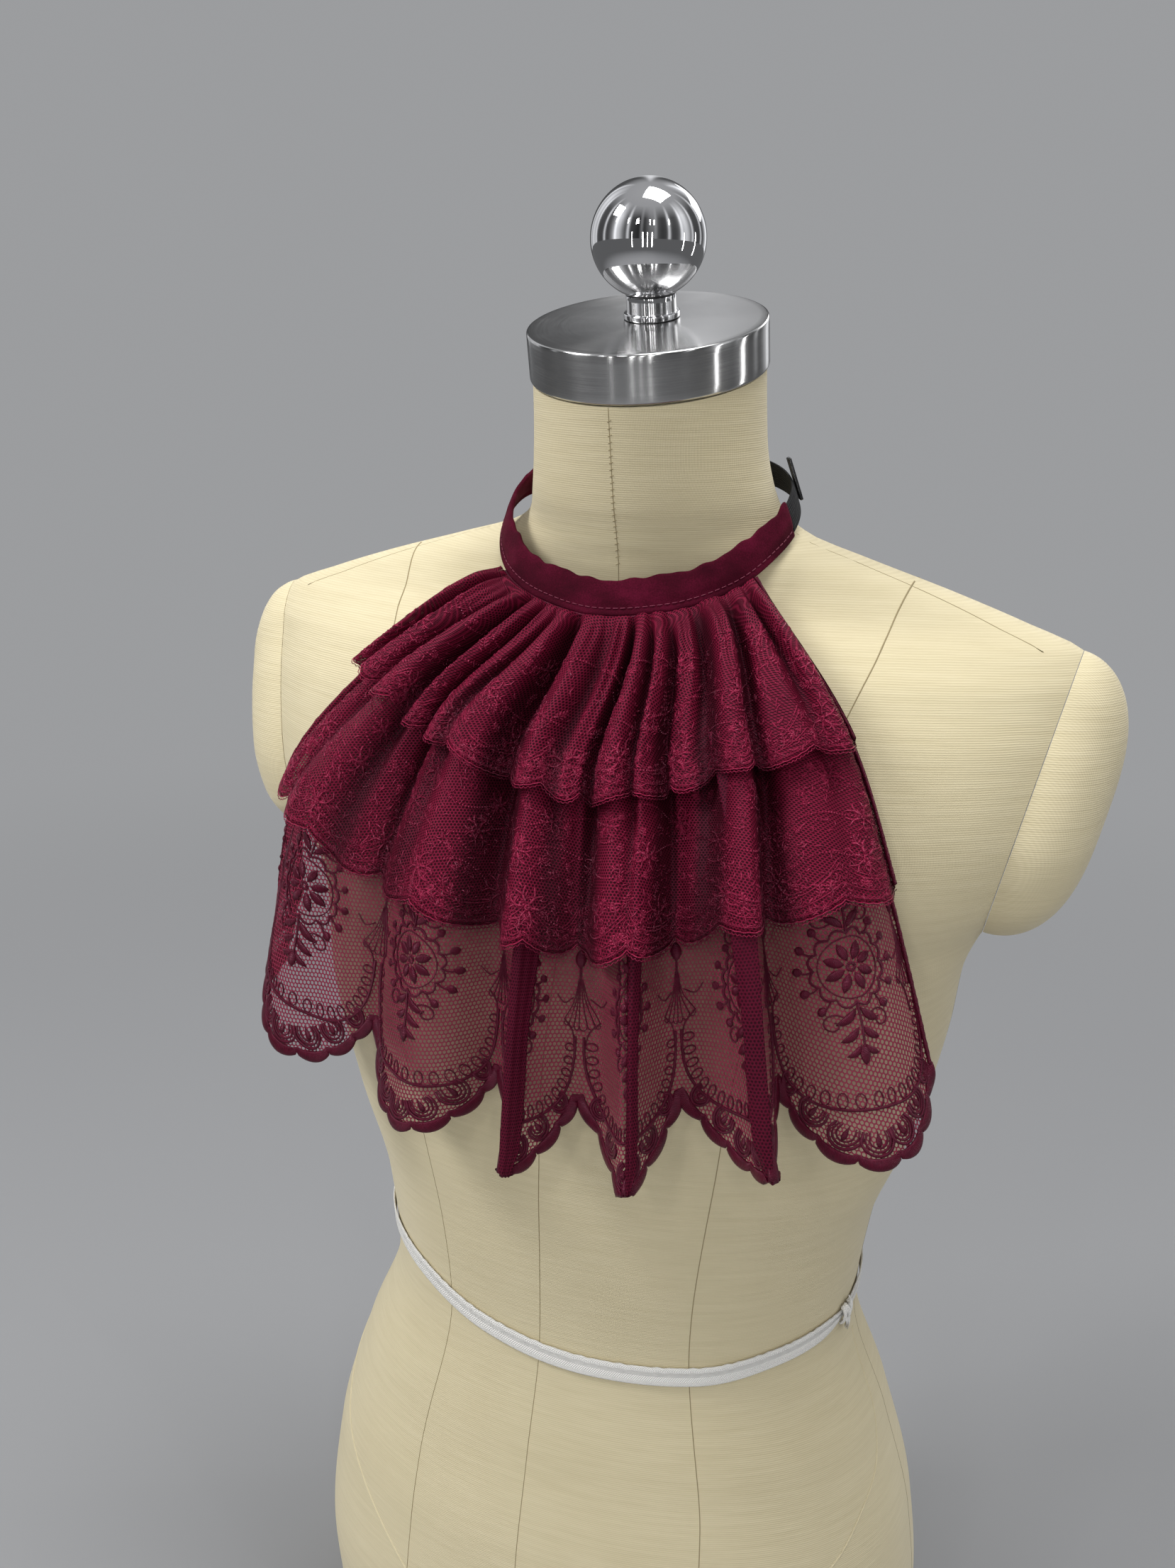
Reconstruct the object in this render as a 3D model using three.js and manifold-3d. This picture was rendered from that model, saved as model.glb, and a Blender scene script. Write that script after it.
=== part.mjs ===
// Lace bib collar (a three-tier jabot on a velvet neckband) on a dress form.
// Millimetres, +Z up. The origin is the middle of the form's flat base, the front faces -Y,
// and the form's own left side is +X.
import * as THREE from 'three';
import { mergeVertices } from 'three/addons/utils/BufferGeometryUtils.js';
import Module from 'manifold-3d';

// ---------------------------------------------------------------- driving dimensions
const SEAM_GAP = 0.3;            // clearance between neighbouring pieces at a seam

// Torso of the form, one row a level. half: half width; wing: the part of it that is the thin
// shoulder ridge; front, back, ridge: y of the front, of the back and of the widest line;
// power: how square the section is; tilt: degrees that the section's back is raised.
const TORSO_LEVELS = [
  { z: 0, half: 158, wing: 0, front: -104, back: 108, ridge: 0, power: 2.4, tilt: 0 },
  { z: 30, half: 162, wing: 0, front: -112, back: 114, ridge: 0, power: 2.3, tilt: 0 },
  { z: 72, half: 166, wing: 0, front: -116, back: 118, ridge: 0, power: 2.25, tilt: 0 },
  { z: 130, half: 160, wing: 0, front: -113, back: 112, ridge: 0, power: 2.2, tilt: 0 },
  { z: 190, half: 143, wing: 0, front: -103, back: 98, ridge: 0, power: 2.2, tilt: 0 },
  { z: 250, half: 123, wing: 0, front: -94, back: 85, ridge: 0, power: 2.2, tilt: 0 },
  { z: 300, half: 128, wing: 0, front: -98, back: 86, ridge: 0, power: 2.2, tilt: 0 },
  { z: 350, half: 144, wing: 0, front: -104, back: 92, ridge: 0, power: 2.2, tilt: 0 },
  { z: 410, half: 157, wing: 0, front: -112, back: 98, ridge: 0, power: 2.2, tilt: 0 },
  { z: 438, half: 160, wing: 0, front: -110, back: 100, ridge: 4, power: 2.2, tilt: 0 },
  { z: 460, half: 168, wing: 0, front: -106, back: 102, ridge: 8, power: 2.1, tilt: 0 },
  { z: 485, half: 189, wing: 0, front: -99, back: 103, ridge: 12, power: 2.0, tilt: 0 },
  { z: 515, half: 202, wing: 0, front: -88, back: 101, ridge: 14, power: 2.0, tilt: 0 },
  { z: 550, half: 206, wing: 6, front: -72, back: 94, ridge: 15, power: 2.0, tilt: 0 },
  { z: 575, half: 206, wing: 30, front: -59, back: 87, ridge: 15, power: 2.0, tilt: 0 },
  { z: 590, half: 198, wing: 70, front: -51, back: 82, ridge: 14, power: 2.0, tilt: 0 },
  { z: 601, half: 171, wing: 95, front: -45, back: 79, ridge: 14, power: 2.0, tilt: 0 },
  { z: 612, half: 138, wing: 80, front: -42, back: 75, ridge: 15, power: 2.0, tilt: 0 },
  { z: 623, half: 100, wing: 44, front: -43, back: 71, ridge: 17, power: 2.0, tilt: 0 },
  { z: 632, half: 71, wing: 16, front: -45, back: 67, ridge: 18, power: 2.0, tilt: 1 },
  { z: 641, half: 60, wing: 6, front: -47, back: 64, ridge: 12, power: 2.0, tilt: 3 },
  { z: 652, half: 56, wing: 2, front: -50, back: 60, ridge: 5, power: 2.0, tilt: 6 },
  { z: 668, half: 53, wing: 0, front: -53, back: 56, ridge: 0, power: 2.0, tilt: 9 },
  { z: 686, half: 52, wing: 0, front: -56, back: 53, ridge: -2, power: 2.0, tilt: 12 },
  { z: 703, half: 51.5, wing: 0, front: -59, back: 51, ridge: -4, power: 2.0, tilt: 13.9 },
];
const TORSO_SIDES = 44;
const TORSO_STEP = 26;           // most height between the torso's rings
const WING_POWER = 5;

// Armhole: the plane that the shoulder is cut off at, and the padded cap over it.
const ARMHOLE = { x: 181, y: 14, z: 520, slant: 12.5 };
const CAP_SIDES = 28;
const CAP_DEPTH = 33;
const CAP_RINGS = 6;
const CAP_ROUNDNESS = 3;

// Neck: steel cap, its small collar and the ball.
const NECK_TOP = { y: -4, z: 703, tilt: 13.9 };
const STEEL_CAP = { rx: 53, ry: 56.5, thick: 22, bevel: 1.2 };
const BALL = { radius: 25.2, back: 6, height: 55.5 };
const BALL_COLLAR = { radius: 11, flange: 12.4, flangeHeight: 2.4, topRadius: 7.7, underBall: 0.7 };

// Waist tape of the form: its middle line dips at the front, angles as on the neckband.
const TAPE = { wide: 10, thick: 1, sides: 56 };
const TAPE_LEVELS = [
  { angle: -180, z: 273 },
  { angle: -90, z: 273 },
  { angle: -57, z: 270 },
  { angle: -41, z: 265 },
  { angle: -16, z: 252 },
  { angle: 5, z: 246 },
  { angle: 30, z: 247 },
  { angle: 52, z: 253 },
  { angle: 80, z: 258 },
  { angle: 125, z: 265 },
  { angle: 180, z: 273 },
];

// Neckband: rings round the neck, angles in degrees from the front towards +X.
const BAND_Y = 3;                // middle of the band's rings
const BAND_TOP = { rx: 64, front: 63, back: 56.1 };
const BAND_BOTTOM = { rx: 69.5, front: 68, back: 60.5 };
const BAND_THICK = 2.2;
const BAND_LEVELS = [
  { angle: -180, top: 668, bottom: 653 },
  { angle: -140, top: 662, bottom: 647 },
  { angle: -104, top: 656, bottom: 642 },
  { angle: -75, top: 643, bottom: 629 },
  { angle: -50, top: 631, bottom: 615 },
  { angle: -25, top: 622, bottom: 607 },
  { angle: 0, top: 618, bottom: 603 },
  { angle: 25, top: 621, bottom: 606 },
  { angle: 50, top: 630, bottom: 614 },
  { angle: 75, top: 643, bottom: 628 },
  { angle: 104, top: 656, bottom: 641 },
  { angle: 140, top: 664, bottom: 649 },
  { angle: 180, top: 668, bottom: 653 },
];
const VELVET_FROM = -138;
const VELVET_TO = 86;
const STRAP_TO = 222 - 0.6;      // the elastic meets the velvet again at the wearer's right back
const STRAP_THICK = 1.6;
const STRAP_INSET = 1.5;         // how much narrower the elastic is than the velvet, each edge
const SLIDE = { angle: 112, wide: 7, high: 20, thick: 1.6, rise: 5 };   // rise: over the strap's middle

// Lace tiers. flat is a place along the lace laid flat, drop a depth below the seam; lift is how
// far a tier stands in front of tier 3 at the seam and at its own hem.
const FLAT_LENGTH = 525;
const SCALLOPS = 7;              // large scallops along tier 3, each FLAT_LENGTH / SCALLOPS wide
const WALL = 1.1;
const COLUMNS = 84;
const TIERS = [
  { name: 'tier_1_lace', drop: 82, rows: 5, lift: [4.2, 13.2], scallop: 5, scallops: 14, level: 1 },
  { name: 'tier_2_lace', drop: 150, rows: 6, lift: [2.1, 7.3], scallop: 5, scallops: 14, level: 2 },
  { name: 'tier_3_net', drop: 240, rows: 9, lift: [0, 0], scallop: 30, scallops: SCALLOPS, level: 3 },
];

// Radial guide lines of the fan, one row each, from the wearer's right (-X) to the left.
// fan: place across the bib; angle: where it leaves the band; then the points that the line
// passes at the drop of each tier.
const GUIDE_DROPS = [0, 80, 150, 240];
const GUIDES = [
  { fan: 0, angle: -50, at80: [-105, -66, 570], at150: [-152, -66, 511], at240: [-163, -58, 424] },
  { fan: 0.08, angle: -42, at80: [-96, -75, 564], at150: [-140, -84, 506], at240: [-158, -92, 405] },
  { fan: 0.25, angle: -24, at80: [-65, -86, 546], at150: [-79, -110, 480], at240: [-88, -119, 378] },
  { fan: 0.5, angle: 4, at80: [12, -99, 530], at150: [19, -125, 471], at240: [22, -137, 372] },
  { fan: 0.75, angle: 31, at80: [72, -87, 546], at150: [85, -114, 490], at240: [102, -129, 392] },
  { fan: 1, angle: 60, at80: [116, -66, 558], at150: [140, -78, 501], at240: [175, -92, 397] },
];

// Ridges and valleys of the folds, one row each. flat: where it lies along the lace; fan: where
// it hangs across the bib; out1 to out3: how far it stands out at the hem of each tier; round
// (tiers 1 and 2) and roundNet (tier 3): above 0 a broad ridge with pinched valleys, below 0 a
// sharp ridge; tip: how much lower the net's folded point hangs there.
const FOLDS = [
  { flat: 0, fan: 0, out1: -1, out2: -2, out3: -3, round: 0, roundNet: 0, tip: 0 },
  { flat: 55, fan: 0.07, out1: 1, out2: 2, out3: 2, round: 0, roundNet: 0, tip: 0 },
  { flat: 108, fan: 0.14, out1: 3, out2: 7, out3: 8, round: 0.3, roundNet: 0.2, tip: 0 },
  { flat: 152, fan: 0.235, out1: -3, out2: -6, out3: -8, round: 0, roundNet: 0, tip: 0 },
  { flat: 190, fan: 0.31, out1: 5, out2: 8, out3: 9, round: 0.4, roundNet: 0.3, tip: 0 },
  { flat: 225, fan: 0.385, out1: -8, out2: -12, out3: -13, round: 0, roundNet: 0, tip: 0 },
  { flat: 256, fan: 0.43, out1: 5, out2: 9, out3: 12, round: 0.2, roundNet: -0.5, tip: 10 },
  { flat: 300, fan: 0.49, out1: -6, out2: -9, out3: -9, round: 0, roundNet: 0, tip: 0 },
  { flat: 335, fan: 0.575, out1: 6, out2: 10, out3: 11, round: 0.3, roundNet: -0.5, tip: 9 },
  { flat: 378, fan: 0.64, out1: -7, out2: -12, out3: -13, round: 0, roundNet: 0, tip: 0 },
  { flat: 428, fan: 0.765, out1: 4, out2: 8, out3: 12, round: 0.3, roundNet: -0.5, tip: 10 },
  { flat: 452, fan: 0.785, out1: 1, out2: -5, out3: -13, round: 0, roundNet: 0, tip: 0 },
  { flat: 490, fan: 0.91, out1: 4, out2: 6, out3: 7, round: 0.4, roundNet: 0.3, tip: 0 },
  { flat: 525, fan: 1, out1: -2, out2: -3, out3: -6, round: 0, roundNet: 0, tip: 0 },
];

// Small gathers under the band: their number and how far they stand out at each drop.
const GATHERS = 14;
const GATHER_RISE = [
  { drop: 0, out: 1.3 },
  { drop: 28, out: 2.4 },
  { drop: 80, out: 1.5 },
  { drop: 150, out: 0.7 },
  { drop: 240, out: 0.3 },
];

const FABRIC = new THREE.MeshStandardMaterial({ color: 0x7a1f4b, roughness: 0.85, metalness: 0 });
const VELVET = new THREE.MeshStandardMaterial({ color: 0x4f0f2c, roughness: 0.95, metalness: 0 });
const NET = new THREE.MeshStandardMaterial({ color: 0x8a4560, roughness: 0.85, metalness: 0 });
const LINEN = new THREE.MeshStandardMaterial({ color: 0xcfc3a0, roughness: 0.9, metalness: 0 });
const STEEL = new THREE.MeshStandardMaterial({ color: 0xb8b8ba, roughness: 0.35, metalness: 1 });
const CHROME = new THREE.MeshStandardMaterial({ color: 0xd8d8dc, roughness: 0.08, metalness: 1 });
const ELASTIC = new THREE.MeshStandardMaterial({ color: 0x101012, roughness: 0.8, metalness: 0 });
const TWILL = new THREE.MeshStandardMaterial({ color: 0xe8e8e6, roughness: 0.9, metalness: 0 });

const group = new THREE.Group();

// ---------------------------------------------------------------- helpers
const radians = THREE.MathUtils.degToRad;
const wrap = (angle) => (angle > 180 ? angle - 360 : angle);

// Smooth curve through a table's column that never overshoots its points.
function curveOf(table, across, column) {
  const x = table.map((row) => row[across]);
  const y = table.map((row) => row[column]);
  const slope = x.slice(1).map((_, i) => (y[i + 1] - y[i]) / (x[i + 1] - x[i]));
  const tangent = x.map((_, i) => {
    if (i === 0) return slope[0];
    if (i === x.length - 1) return slope[i - 1];
    const product = slope[i - 1] * slope[i];
    return product <= 0 ? 0 : (2 * product) / (slope[i - 1] + slope[i]);
  });
  return (at) => {
    const clamped = Math.min(Math.max(at, x[0]), x[x.length - 1]);
    let i = 0;
    while (i < x.length - 2 && clamped > x[i + 1]) i += 1;
    const width = x[i + 1] - x[i];
    const t = (clamped - x[i]) / width;
    const a = (1 + 2 * t) * (1 - t) * (1 - t);
    const b = t * (1 - t) * (1 - t);
    return a * y[i] + b * width * tangent[i] + (1 - a) * y[i + 1] + t * t * (t - 1) * width * tangent[i + 1];
  };
}

function geometryFrom(points, faces) {
  const geometry = new THREE.BufferGeometry();
  geometry.setAttribute('position', new THREE.Float32BufferAttribute(points.flatMap((p) => [p.x, p.y, p.z]), 3));
  geometry.setIndex(faces.flat());
  return geometry;
}

function addPiece(name, geometry, material) {
  const mesh = new THREE.Mesh(geometry, material);
  mesh.name = name;
  group.add(mesh);
  return mesh;
}

// Closed solid from rings that run anticlockwise seen from the last ring, with fans at the ends.
function loft(rings) {
  const sides = rings[0].length;
  const points = rings.flat();
  const faces = [];
  for (let r = 0; r < rings.length - 1; r += 1) {
    for (let k = 0; k < sides; k += 1) {
      const a = r * sides + k;
      const b = r * sides + ((k + 1) % sides);
      faces.push([a, b, b + sides], [a, b + sides, a + sides]);
    }
  }
  const middle = (ring) => ring.reduce((sum, p) => sum.add(p), new THREE.Vector3()).divideScalar(sides);
  const first = points.push(middle(rings[0])) - 1;
  const last = points.push(middle(rings[rings.length - 1])) - 1;
  const top = (rings.length - 1) * sides;
  for (let k = 0; k < sides; k += 1) {
    const next = (k + 1) % sides;
    faces.push([first, next, k], [last, top + k, top + next]);
  }
  return geometryFrom(points, faces);
}

// Closed wall over a grid of points: grid[row][column] is moved half the thickness both ways
// along the normals. The front is the side that the normals point to.
function wall(grid, thickness) {
  const rows = grid.length;
  const columns = grid[0].length;
  const at = (r, c) => grid[Math.min(Math.max(r, 0), rows - 1)][Math.min(Math.max(c, 0), columns - 1)];
  const normals = grid.map((line, r) => line.map((_, c) => {
    const along = new THREE.Vector3().subVectors(at(r, c + 1), at(r, c - 1));
    const down = new THREE.Vector3().subVectors(at(r + 1, c), at(r - 1, c));
    return new THREE.Vector3().crossVectors(down, along).normalize();
  }));
  const side = (sign) => grid.flatMap((line, r) => line.map((p, c) => (
    p.clone().addScaledVector(normals[r][c], sign * thickness / 2))));
  const points = [...side(1), ...side(-1)];
  const back = rows * columns;
  const faces = [];
  for (let r = 0; r < rows - 1; r += 1) {
    for (let c = 0; c < columns - 1; c += 1) {
      const a = r * columns + c;
      const b = a + 1;
      const d = a + columns;
      const e = d + 1;
      faces.push([a, d, e], [a, e, b], [back + a, back + e, back + d], [back + a, back + b, back + e]);
    }
  }
  const stitch = (a, b) => faces.push([a, b, back + b], [a, back + b, back + a]);
  for (let c = 0; c < columns - 1; c += 1) {
    stitch(c, c + 1);
    stitch((rows - 1) * columns + c + 1, (rows - 1) * columns + c);
  }
  for (let r = 0; r < rows - 1; r += 1) {
    stitch((r + 1) * columns, r * columns);
    stitch(r * columns + columns - 1, (r + 1) * columns + columns - 1);
  }
  return geometryFrom(points, faces);
}

// ---------------------------------------------------------------- booleans
const wasm = await Module();
wasm.setup();

function solidFrom(geometry) {
  const bare = geometry.clone();
  bare.deleteAttribute('normal');
  bare.deleteAttribute('uv');
  const merged = mergeVertices(bare);
  return new wasm.Manifold(new wasm.Mesh({
    numProp: 3,
    vertProperties: new Float32Array(merged.attributes.position.array),
    triVerts: new Uint32Array(merged.index.array),
  }));
}

function geometryOf(solid) {
  const mesh = solid.getMesh();
  const geometry = new THREE.BufferGeometry();
  geometry.setAttribute('position', new THREE.Float32BufferAttribute(mesh.vertProperties, 3));
  geometry.setIndex(Array.from(mesh.triVerts));
  return geometry;
}

// ---------------------------------------------------------------- torso of the form
const level = {};
for (const column of ['half', 'wing', 'front', 'back', 'ridge', 'power', 'tilt']) {
  level[column] = curveOf(TORSO_LEVELS, 'z', column);
}

// A point of the torso at a level and a turn round it, and the half width at a depth y.
function torsoPoint(z, turn, proud = 0) {
  const power = 2 / level.power(z);
  const across = Math.abs(Math.cos(turn)) ** power;
  const deep = Math.abs(Math.sin(turn)) ** power;
  const round = level.half(z) - level.wing(z);
  const x = Math.sign(Math.cos(turn)) * (round * across + level.wing(z) * across ** WING_POWER + proud * across);
  const end = Math.sin(turn) < 0 ? level.front(z) - proud : level.back(z) + proud;
  const y = level.ridge(z) + (end - level.ridge(z)) * deep;
  return new THREE.Vector3(x, y, z + (y - level.ridge(z)) * Math.tan(radians(level.tilt(z))));
}

function torsoHalfWidth(y, z) {
  const end = y < level.ridge(z) ? level.front(z) : level.back(z);
  const deep = (y - level.ridge(z)) / (end - level.ridge(z));
  if (deep >= 1) return 0;
  const across = (1 - deep ** level.power(z)) ** (1 / level.power(z));
  return (level.half(z) - level.wing(z)) * across + level.wing(z) * across ** WING_POWER;
}

function turns(sides) {
  return Array.from({ length: sides }, (_, k) => (2 * Math.PI * k) / sides);
}

const torsoHeights = TORSO_LEVELS.flatMap(({ z }, i) => {
  if (i === 0) return [z];
  const below = TORSO_LEVELS[i - 1].z;
  const steps = Math.ceil((z - below) / TORSO_STEP);
  return Array.from({ length: steps }, (_, k) => below + ((z - below) * (k + 1)) / steps);
});
const torsoRings = torsoHeights.map((z) => turns(TORSO_SIDES).map((turn) => torsoPoint(z, turn)));

// The shoulder is cut along the armhole plane: a block beyond it is taken away on each side.
const BLOCK = 240;
const slant = radians(ARMHOLE.slant);
function beyondArmhole(side) {
  const block = new THREE.BoxGeometry(BLOCK, BLOCK, BLOCK);
  block.translate(BLOCK / 2, 0, 0);
  block.rotateY(slant);
  block.translate(ARMHOLE.x, ARMHOLE.y, ARMHOLE.z);
  if (side < 0) {
    block.scale(-1, 1, 1);
    const index = block.index.array;
    for (let k = 0; k < index.length; k += 3) {
      [index[k], index[k + 1]] = [index[k + 1], index[k]];
    }
  }
  return solidFrom(block);
}
const torso = solidFrom(loft(torsoRings)).subtract(beyondArmhole(1)).subtract(beyondArmhole(-1));
addPiece('form_torso', geometryOf(torso), LINEN);

// ---------------------------------------------------------------- shoulder caps
const capOut = new THREE.Vector3(Math.cos(slant), 0, -Math.sin(slant));
const capUp = new THREE.Vector3(Math.sin(slant), 0, Math.cos(slant));
const capMiddle = new THREE.Vector3(ARMHOLE.x, ARMHOLE.y, ARMHOLE.z);

// How far the torso reaches in the armhole plane in a direction, found by halving.
function armholeReach(turn) {
  let near = 0;
  let far = 120;
  for (let step = 0; step < 30; step += 1) {
    const reach = (near + far) / 2;
    const p = capMiddle.clone().addScaledVector(capUp, reach * Math.sin(turn));
    p.y += reach * Math.cos(turn);
    if (p.x < torsoHalfWidth(p.y, p.z)) near = reach;
    else far = reach;
  }
  return near;
}

function shoulderCap(side) {
  const reach = turns(CAP_SIDES).map((turn) => armholeReach(turn));
  const rings = Array.from({ length: CAP_RINGS }, (_, i) => {
    const share = Math.cos((Math.PI / 2) * (i / CAP_RINGS));
    const height = SEAM_GAP + CAP_DEPTH * (1 - share ** CAP_ROUNDNESS) ** (1 / 2);
    return turns(CAP_SIDES).map((turn, k) => {
      const p = capMiddle.clone().addScaledVector(capOut, height);
      p.addScaledVector(capUp, share * reach[k] * Math.sin(turn));
      p.y += share * reach[k] * Math.cos(turn);
      p.x *= side;
      return p;
    });
  });
  if (side < 0) rings.forEach((ring) => ring.reverse());
  return loft(rings);
}
addPiece('form_cap_left', shoulderCap(1), LINEN);
addPiece('form_cap_right', shoulderCap(-1), LINEN);

// ---------------------------------------------------------------- neck cap and ball
const neck = new THREE.Group();
neck.position.set(0, NECK_TOP.y, NECK_TOP.z);
neck.rotation.x = radians(NECK_TOP.tilt);
group.add(neck);

const capProfile = [
  [0, SEAM_GAP],
  [1, SEAM_GAP],
  [1, STEEL_CAP.thick - STEEL_CAP.bevel],
  [1 - STEEL_CAP.bevel / STEEL_CAP.rx, STEEL_CAP.thick],
  [0, STEEL_CAP.thick],
].map(([r, z]) => new THREE.Vector2(r, z));
const capDisc = new THREE.LatheGeometry(capProfile, 48);
capDisc.rotateX(Math.PI / 2);
capDisc.scale(STEEL_CAP.rx, STEEL_CAP.ry, 1);
const steelCap = addPiece('neck_cap', capDisc, STEEL);
neck.add(steelCap);

const collarFoot = STEEL_CAP.thick + SEAM_GAP;
const ballFoot = BALL.height - Math.sqrt(BALL.radius ** 2 - BALL_COLLAR.radius ** 2);
const collarTop = ballFoot - SEAM_GAP;
const collarProfile = [
  [0, collarFoot],
  [BALL_COLLAR.flange, collarFoot],
  [BALL_COLLAR.flange, collarFoot + BALL_COLLAR.flangeHeight],
  [BALL_COLLAR.radius, collarFoot + BALL_COLLAR.flangeHeight],
  [BALL_COLLAR.radius, collarTop],
  [BALL_COLLAR.topRadius, BALL.height - BALL.radius - BALL_COLLAR.underBall],
  [0, BALL.height - BALL.radius - BALL_COLLAR.underBall],
].map(([r, z]) => new THREE.Vector2(r, z));
const collar = new THREE.LatheGeometry(collarProfile, 24);
collar.rotateX(Math.PI / 2);
collar.translate(0, BALL.back, 0);
neck.add(addPiece('ball_collar', collar, CHROME));

const ballArc = Array.from({ length: 13 }, (_, i) => {
  const turn = -Math.PI / 2 + (Math.PI * i) / 12;
  const r = i === 0 || i === 12 ? 0 : BALL.radius * Math.cos(turn);
  return new THREE.Vector2(r, BALL.height + BALL.radius * Math.sin(turn));
});
const ball = new THREE.LatheGeometry(ballArc, 24);
ball.rotateX(Math.PI / 2);
ball.translate(0, BALL.back, 0);
neck.add(addPiece('neck_ball', ball, CHROME));

// ---------------------------------------------------------------- waist tape
const tapeLevel = curveOf(TAPE_LEVELS, 'angle', 'z');
const tapeHeight = (turn) => tapeLevel(wrap(THREE.MathUtils.radToDeg(turn) + 90));
const tapeRings = [[0, 0.5], [1, 0.5], [1, -0.5], [0, -0.5]].map(([out, up]) => (
  turns(TAPE.sides).map((turn) => {
    const proud = SEAM_GAP + 0.5 + out * TAPE.thick;
    return torsoPoint(tapeHeight(turn) + up * TAPE.wide, turn, proud);
  })));
const tapePoints = tapeRings.flat();
const tapeFaces = [];
for (let r = 0; r < 4; r += 1) {
  for (let k = 0; k < TAPE.sides; k += 1) {
    const next = (k + 1) % TAPE.sides;
    const a = r * TAPE.sides + k;
    const b = r * TAPE.sides + next;
    const c = ((r + 1) % 4) * TAPE.sides + next;
    const d = ((r + 1) % 4) * TAPE.sides + k;
    tapeFaces.push([a, c, b], [a, d, c]);
  }
}
addPiece('waist_tape', geometryFrom(tapePoints, tapeFaces), TWILL);

// ---------------------------------------------------------------- neckband and strap
const bandTop = curveOf(BAND_LEVELS, 'angle', 'top');
const bandBottom = curveOf(BAND_LEVELS, 'angle', 'bottom');

// A point on the band: share 0 is the top edge and 1 the bottom edge.
function bandPoint(angle, share) {
  const turn = radians(angle);
  const rx = THREE.MathUtils.lerp(BAND_TOP.rx, BAND_BOTTOM.rx, share);
  const end = Math.cos(turn) > 0 ? 'front' : 'back';
  const ry = THREE.MathUtils.lerp(BAND_TOP[end], BAND_BOTTOM[end], share);
  const z = THREE.MathUtils.lerp(bandTop(wrap(angle)), bandBottom(wrap(angle)), share);
  return new THREE.Vector3(rx * Math.sin(turn), BAND_Y - ry * Math.cos(turn), z);
}

function bandGrid(from, to, columns, inset) {
  const high = BAND_LEVELS[0].top - BAND_LEVELS[0].bottom;
  const shares = [0, 0.5, 1].map((share) => inset / high + share * (1 - (2 * inset) / high));
  return shares.map((share) => Array.from({ length: columns + 1 }, (_, c) => (
    bandPoint(THREE.MathUtils.lerp(from, to, c / columns), share))));
}
addPiece('neckband', wall(bandGrid(VELVET_FROM, VELVET_TO, 44, 0), BAND_THICK), VELVET);
addPiece('back_strap', wall(bandGrid(VELVET_TO + 0.4, STRAP_TO, 26, STRAP_INSET), STRAP_THICK), ELASTIC);

// Slide of the strap: a small flat plate that stands over the strap's top edge.
const slideFoot = bandPoint(SLIDE.angle, 1);
const slideHead = bandPoint(SLIDE.angle, 0);
const slideOut = new THREE.Vector3(Math.sin(radians(SLIDE.angle)), -Math.cos(radians(SLIDE.angle)), 0);
const slide = new THREE.BoxGeometry(SLIDE.wide, SLIDE.thick, SLIDE.high);
slide.translate(0, -(STRAP_THICK + SLIDE.thick) / 2 - SEAM_GAP, 0);
const slideMesh = addPiece('strap_slide', slide, ELASTIC);
const slideLean = (BAND_BOTTOM.rx - BAND_TOP.rx) / (slideHead.z - slideFoot.z);
slideMesh.position.copy(slideHead).lerp(slideFoot, 0.5);
slideMesh.position.z += SLIDE.rise;
slideMesh.position.addScaledVector(slideOut, -SLIDE.rise * slideLean);
slideMesh.rotation.order = 'ZXY';
slideMesh.rotation.z = radians(SLIDE.angle);
slideMesh.rotation.x = -Math.atan(slideLean);

// ---------------------------------------------------------------- lace tiers
// The fan without folds: guide lines down the bib, joined across.
const guideCurves = GUIDES.map((guide) => {
  const seam = bandPoint(guide.angle, 1);
  const points = [[seam.x, seam.y, seam.z], guide.at80, guide.at150, guide.at240];
  const table = points.map(([x, y, z], i) => ({ drop: GUIDE_DROPS[i], x, y, z }));
  return ['x', 'y', 'z'].map((axis) => curveOf(table, 'drop', axis));
});
const guideAngle = curveOf(GUIDES, 'fan', 'angle');

// One point of the plain fan. Near the seam it follows the band's own lower edge.
const SEAM_REACH = 40;
function fanPoint(fan, drop) {
  const across = [0, 1, 2].map((axis) => {
    const table = GUIDES.map((guide, i) => ({ fan: guide.fan, value: guideCurves[i][axis](drop) }));
    return curveOf(table, 'fan', 'value')(fan);
  });
  const flat = new THREE.Vector3(...across);
  const corner = GUIDES.map((guide) => bandPoint(guide.angle, 1));
  const chord = [0, 1, 2].map((axis) => {
    const table = GUIDES.map((guide, i) => ({ fan: guide.fan, value: corner[i].getComponent(axis) }));
    return curveOf(table, 'fan', 'value')(fan);
  });
  const seam = bandPoint(guideAngle(fan), 1);
  const near = Math.max(0, 1 - drop / SEAM_REACH) ** 2;
  return flat.addScaledVector(seam.sub(new THREE.Vector3(...chord)), near);
}

const FAN_STEP = 0.004;
const DROP_STEP = 3;
function fanNormal(fan, drop) {
  const low = Math.max(0, fan - FAN_STEP);
  const high = Math.min(1, fan + FAN_STEP);
  const along = fanPoint(high, drop).sub(fanPoint(low, drop));
  const top = Math.max(0, drop - DROP_STEP);
  const down = fanPoint(fan, top + 2 * DROP_STEP).sub(fanPoint(fan, top));
  return new THREE.Vector3().crossVectors(down, along).normalize();
}

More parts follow.
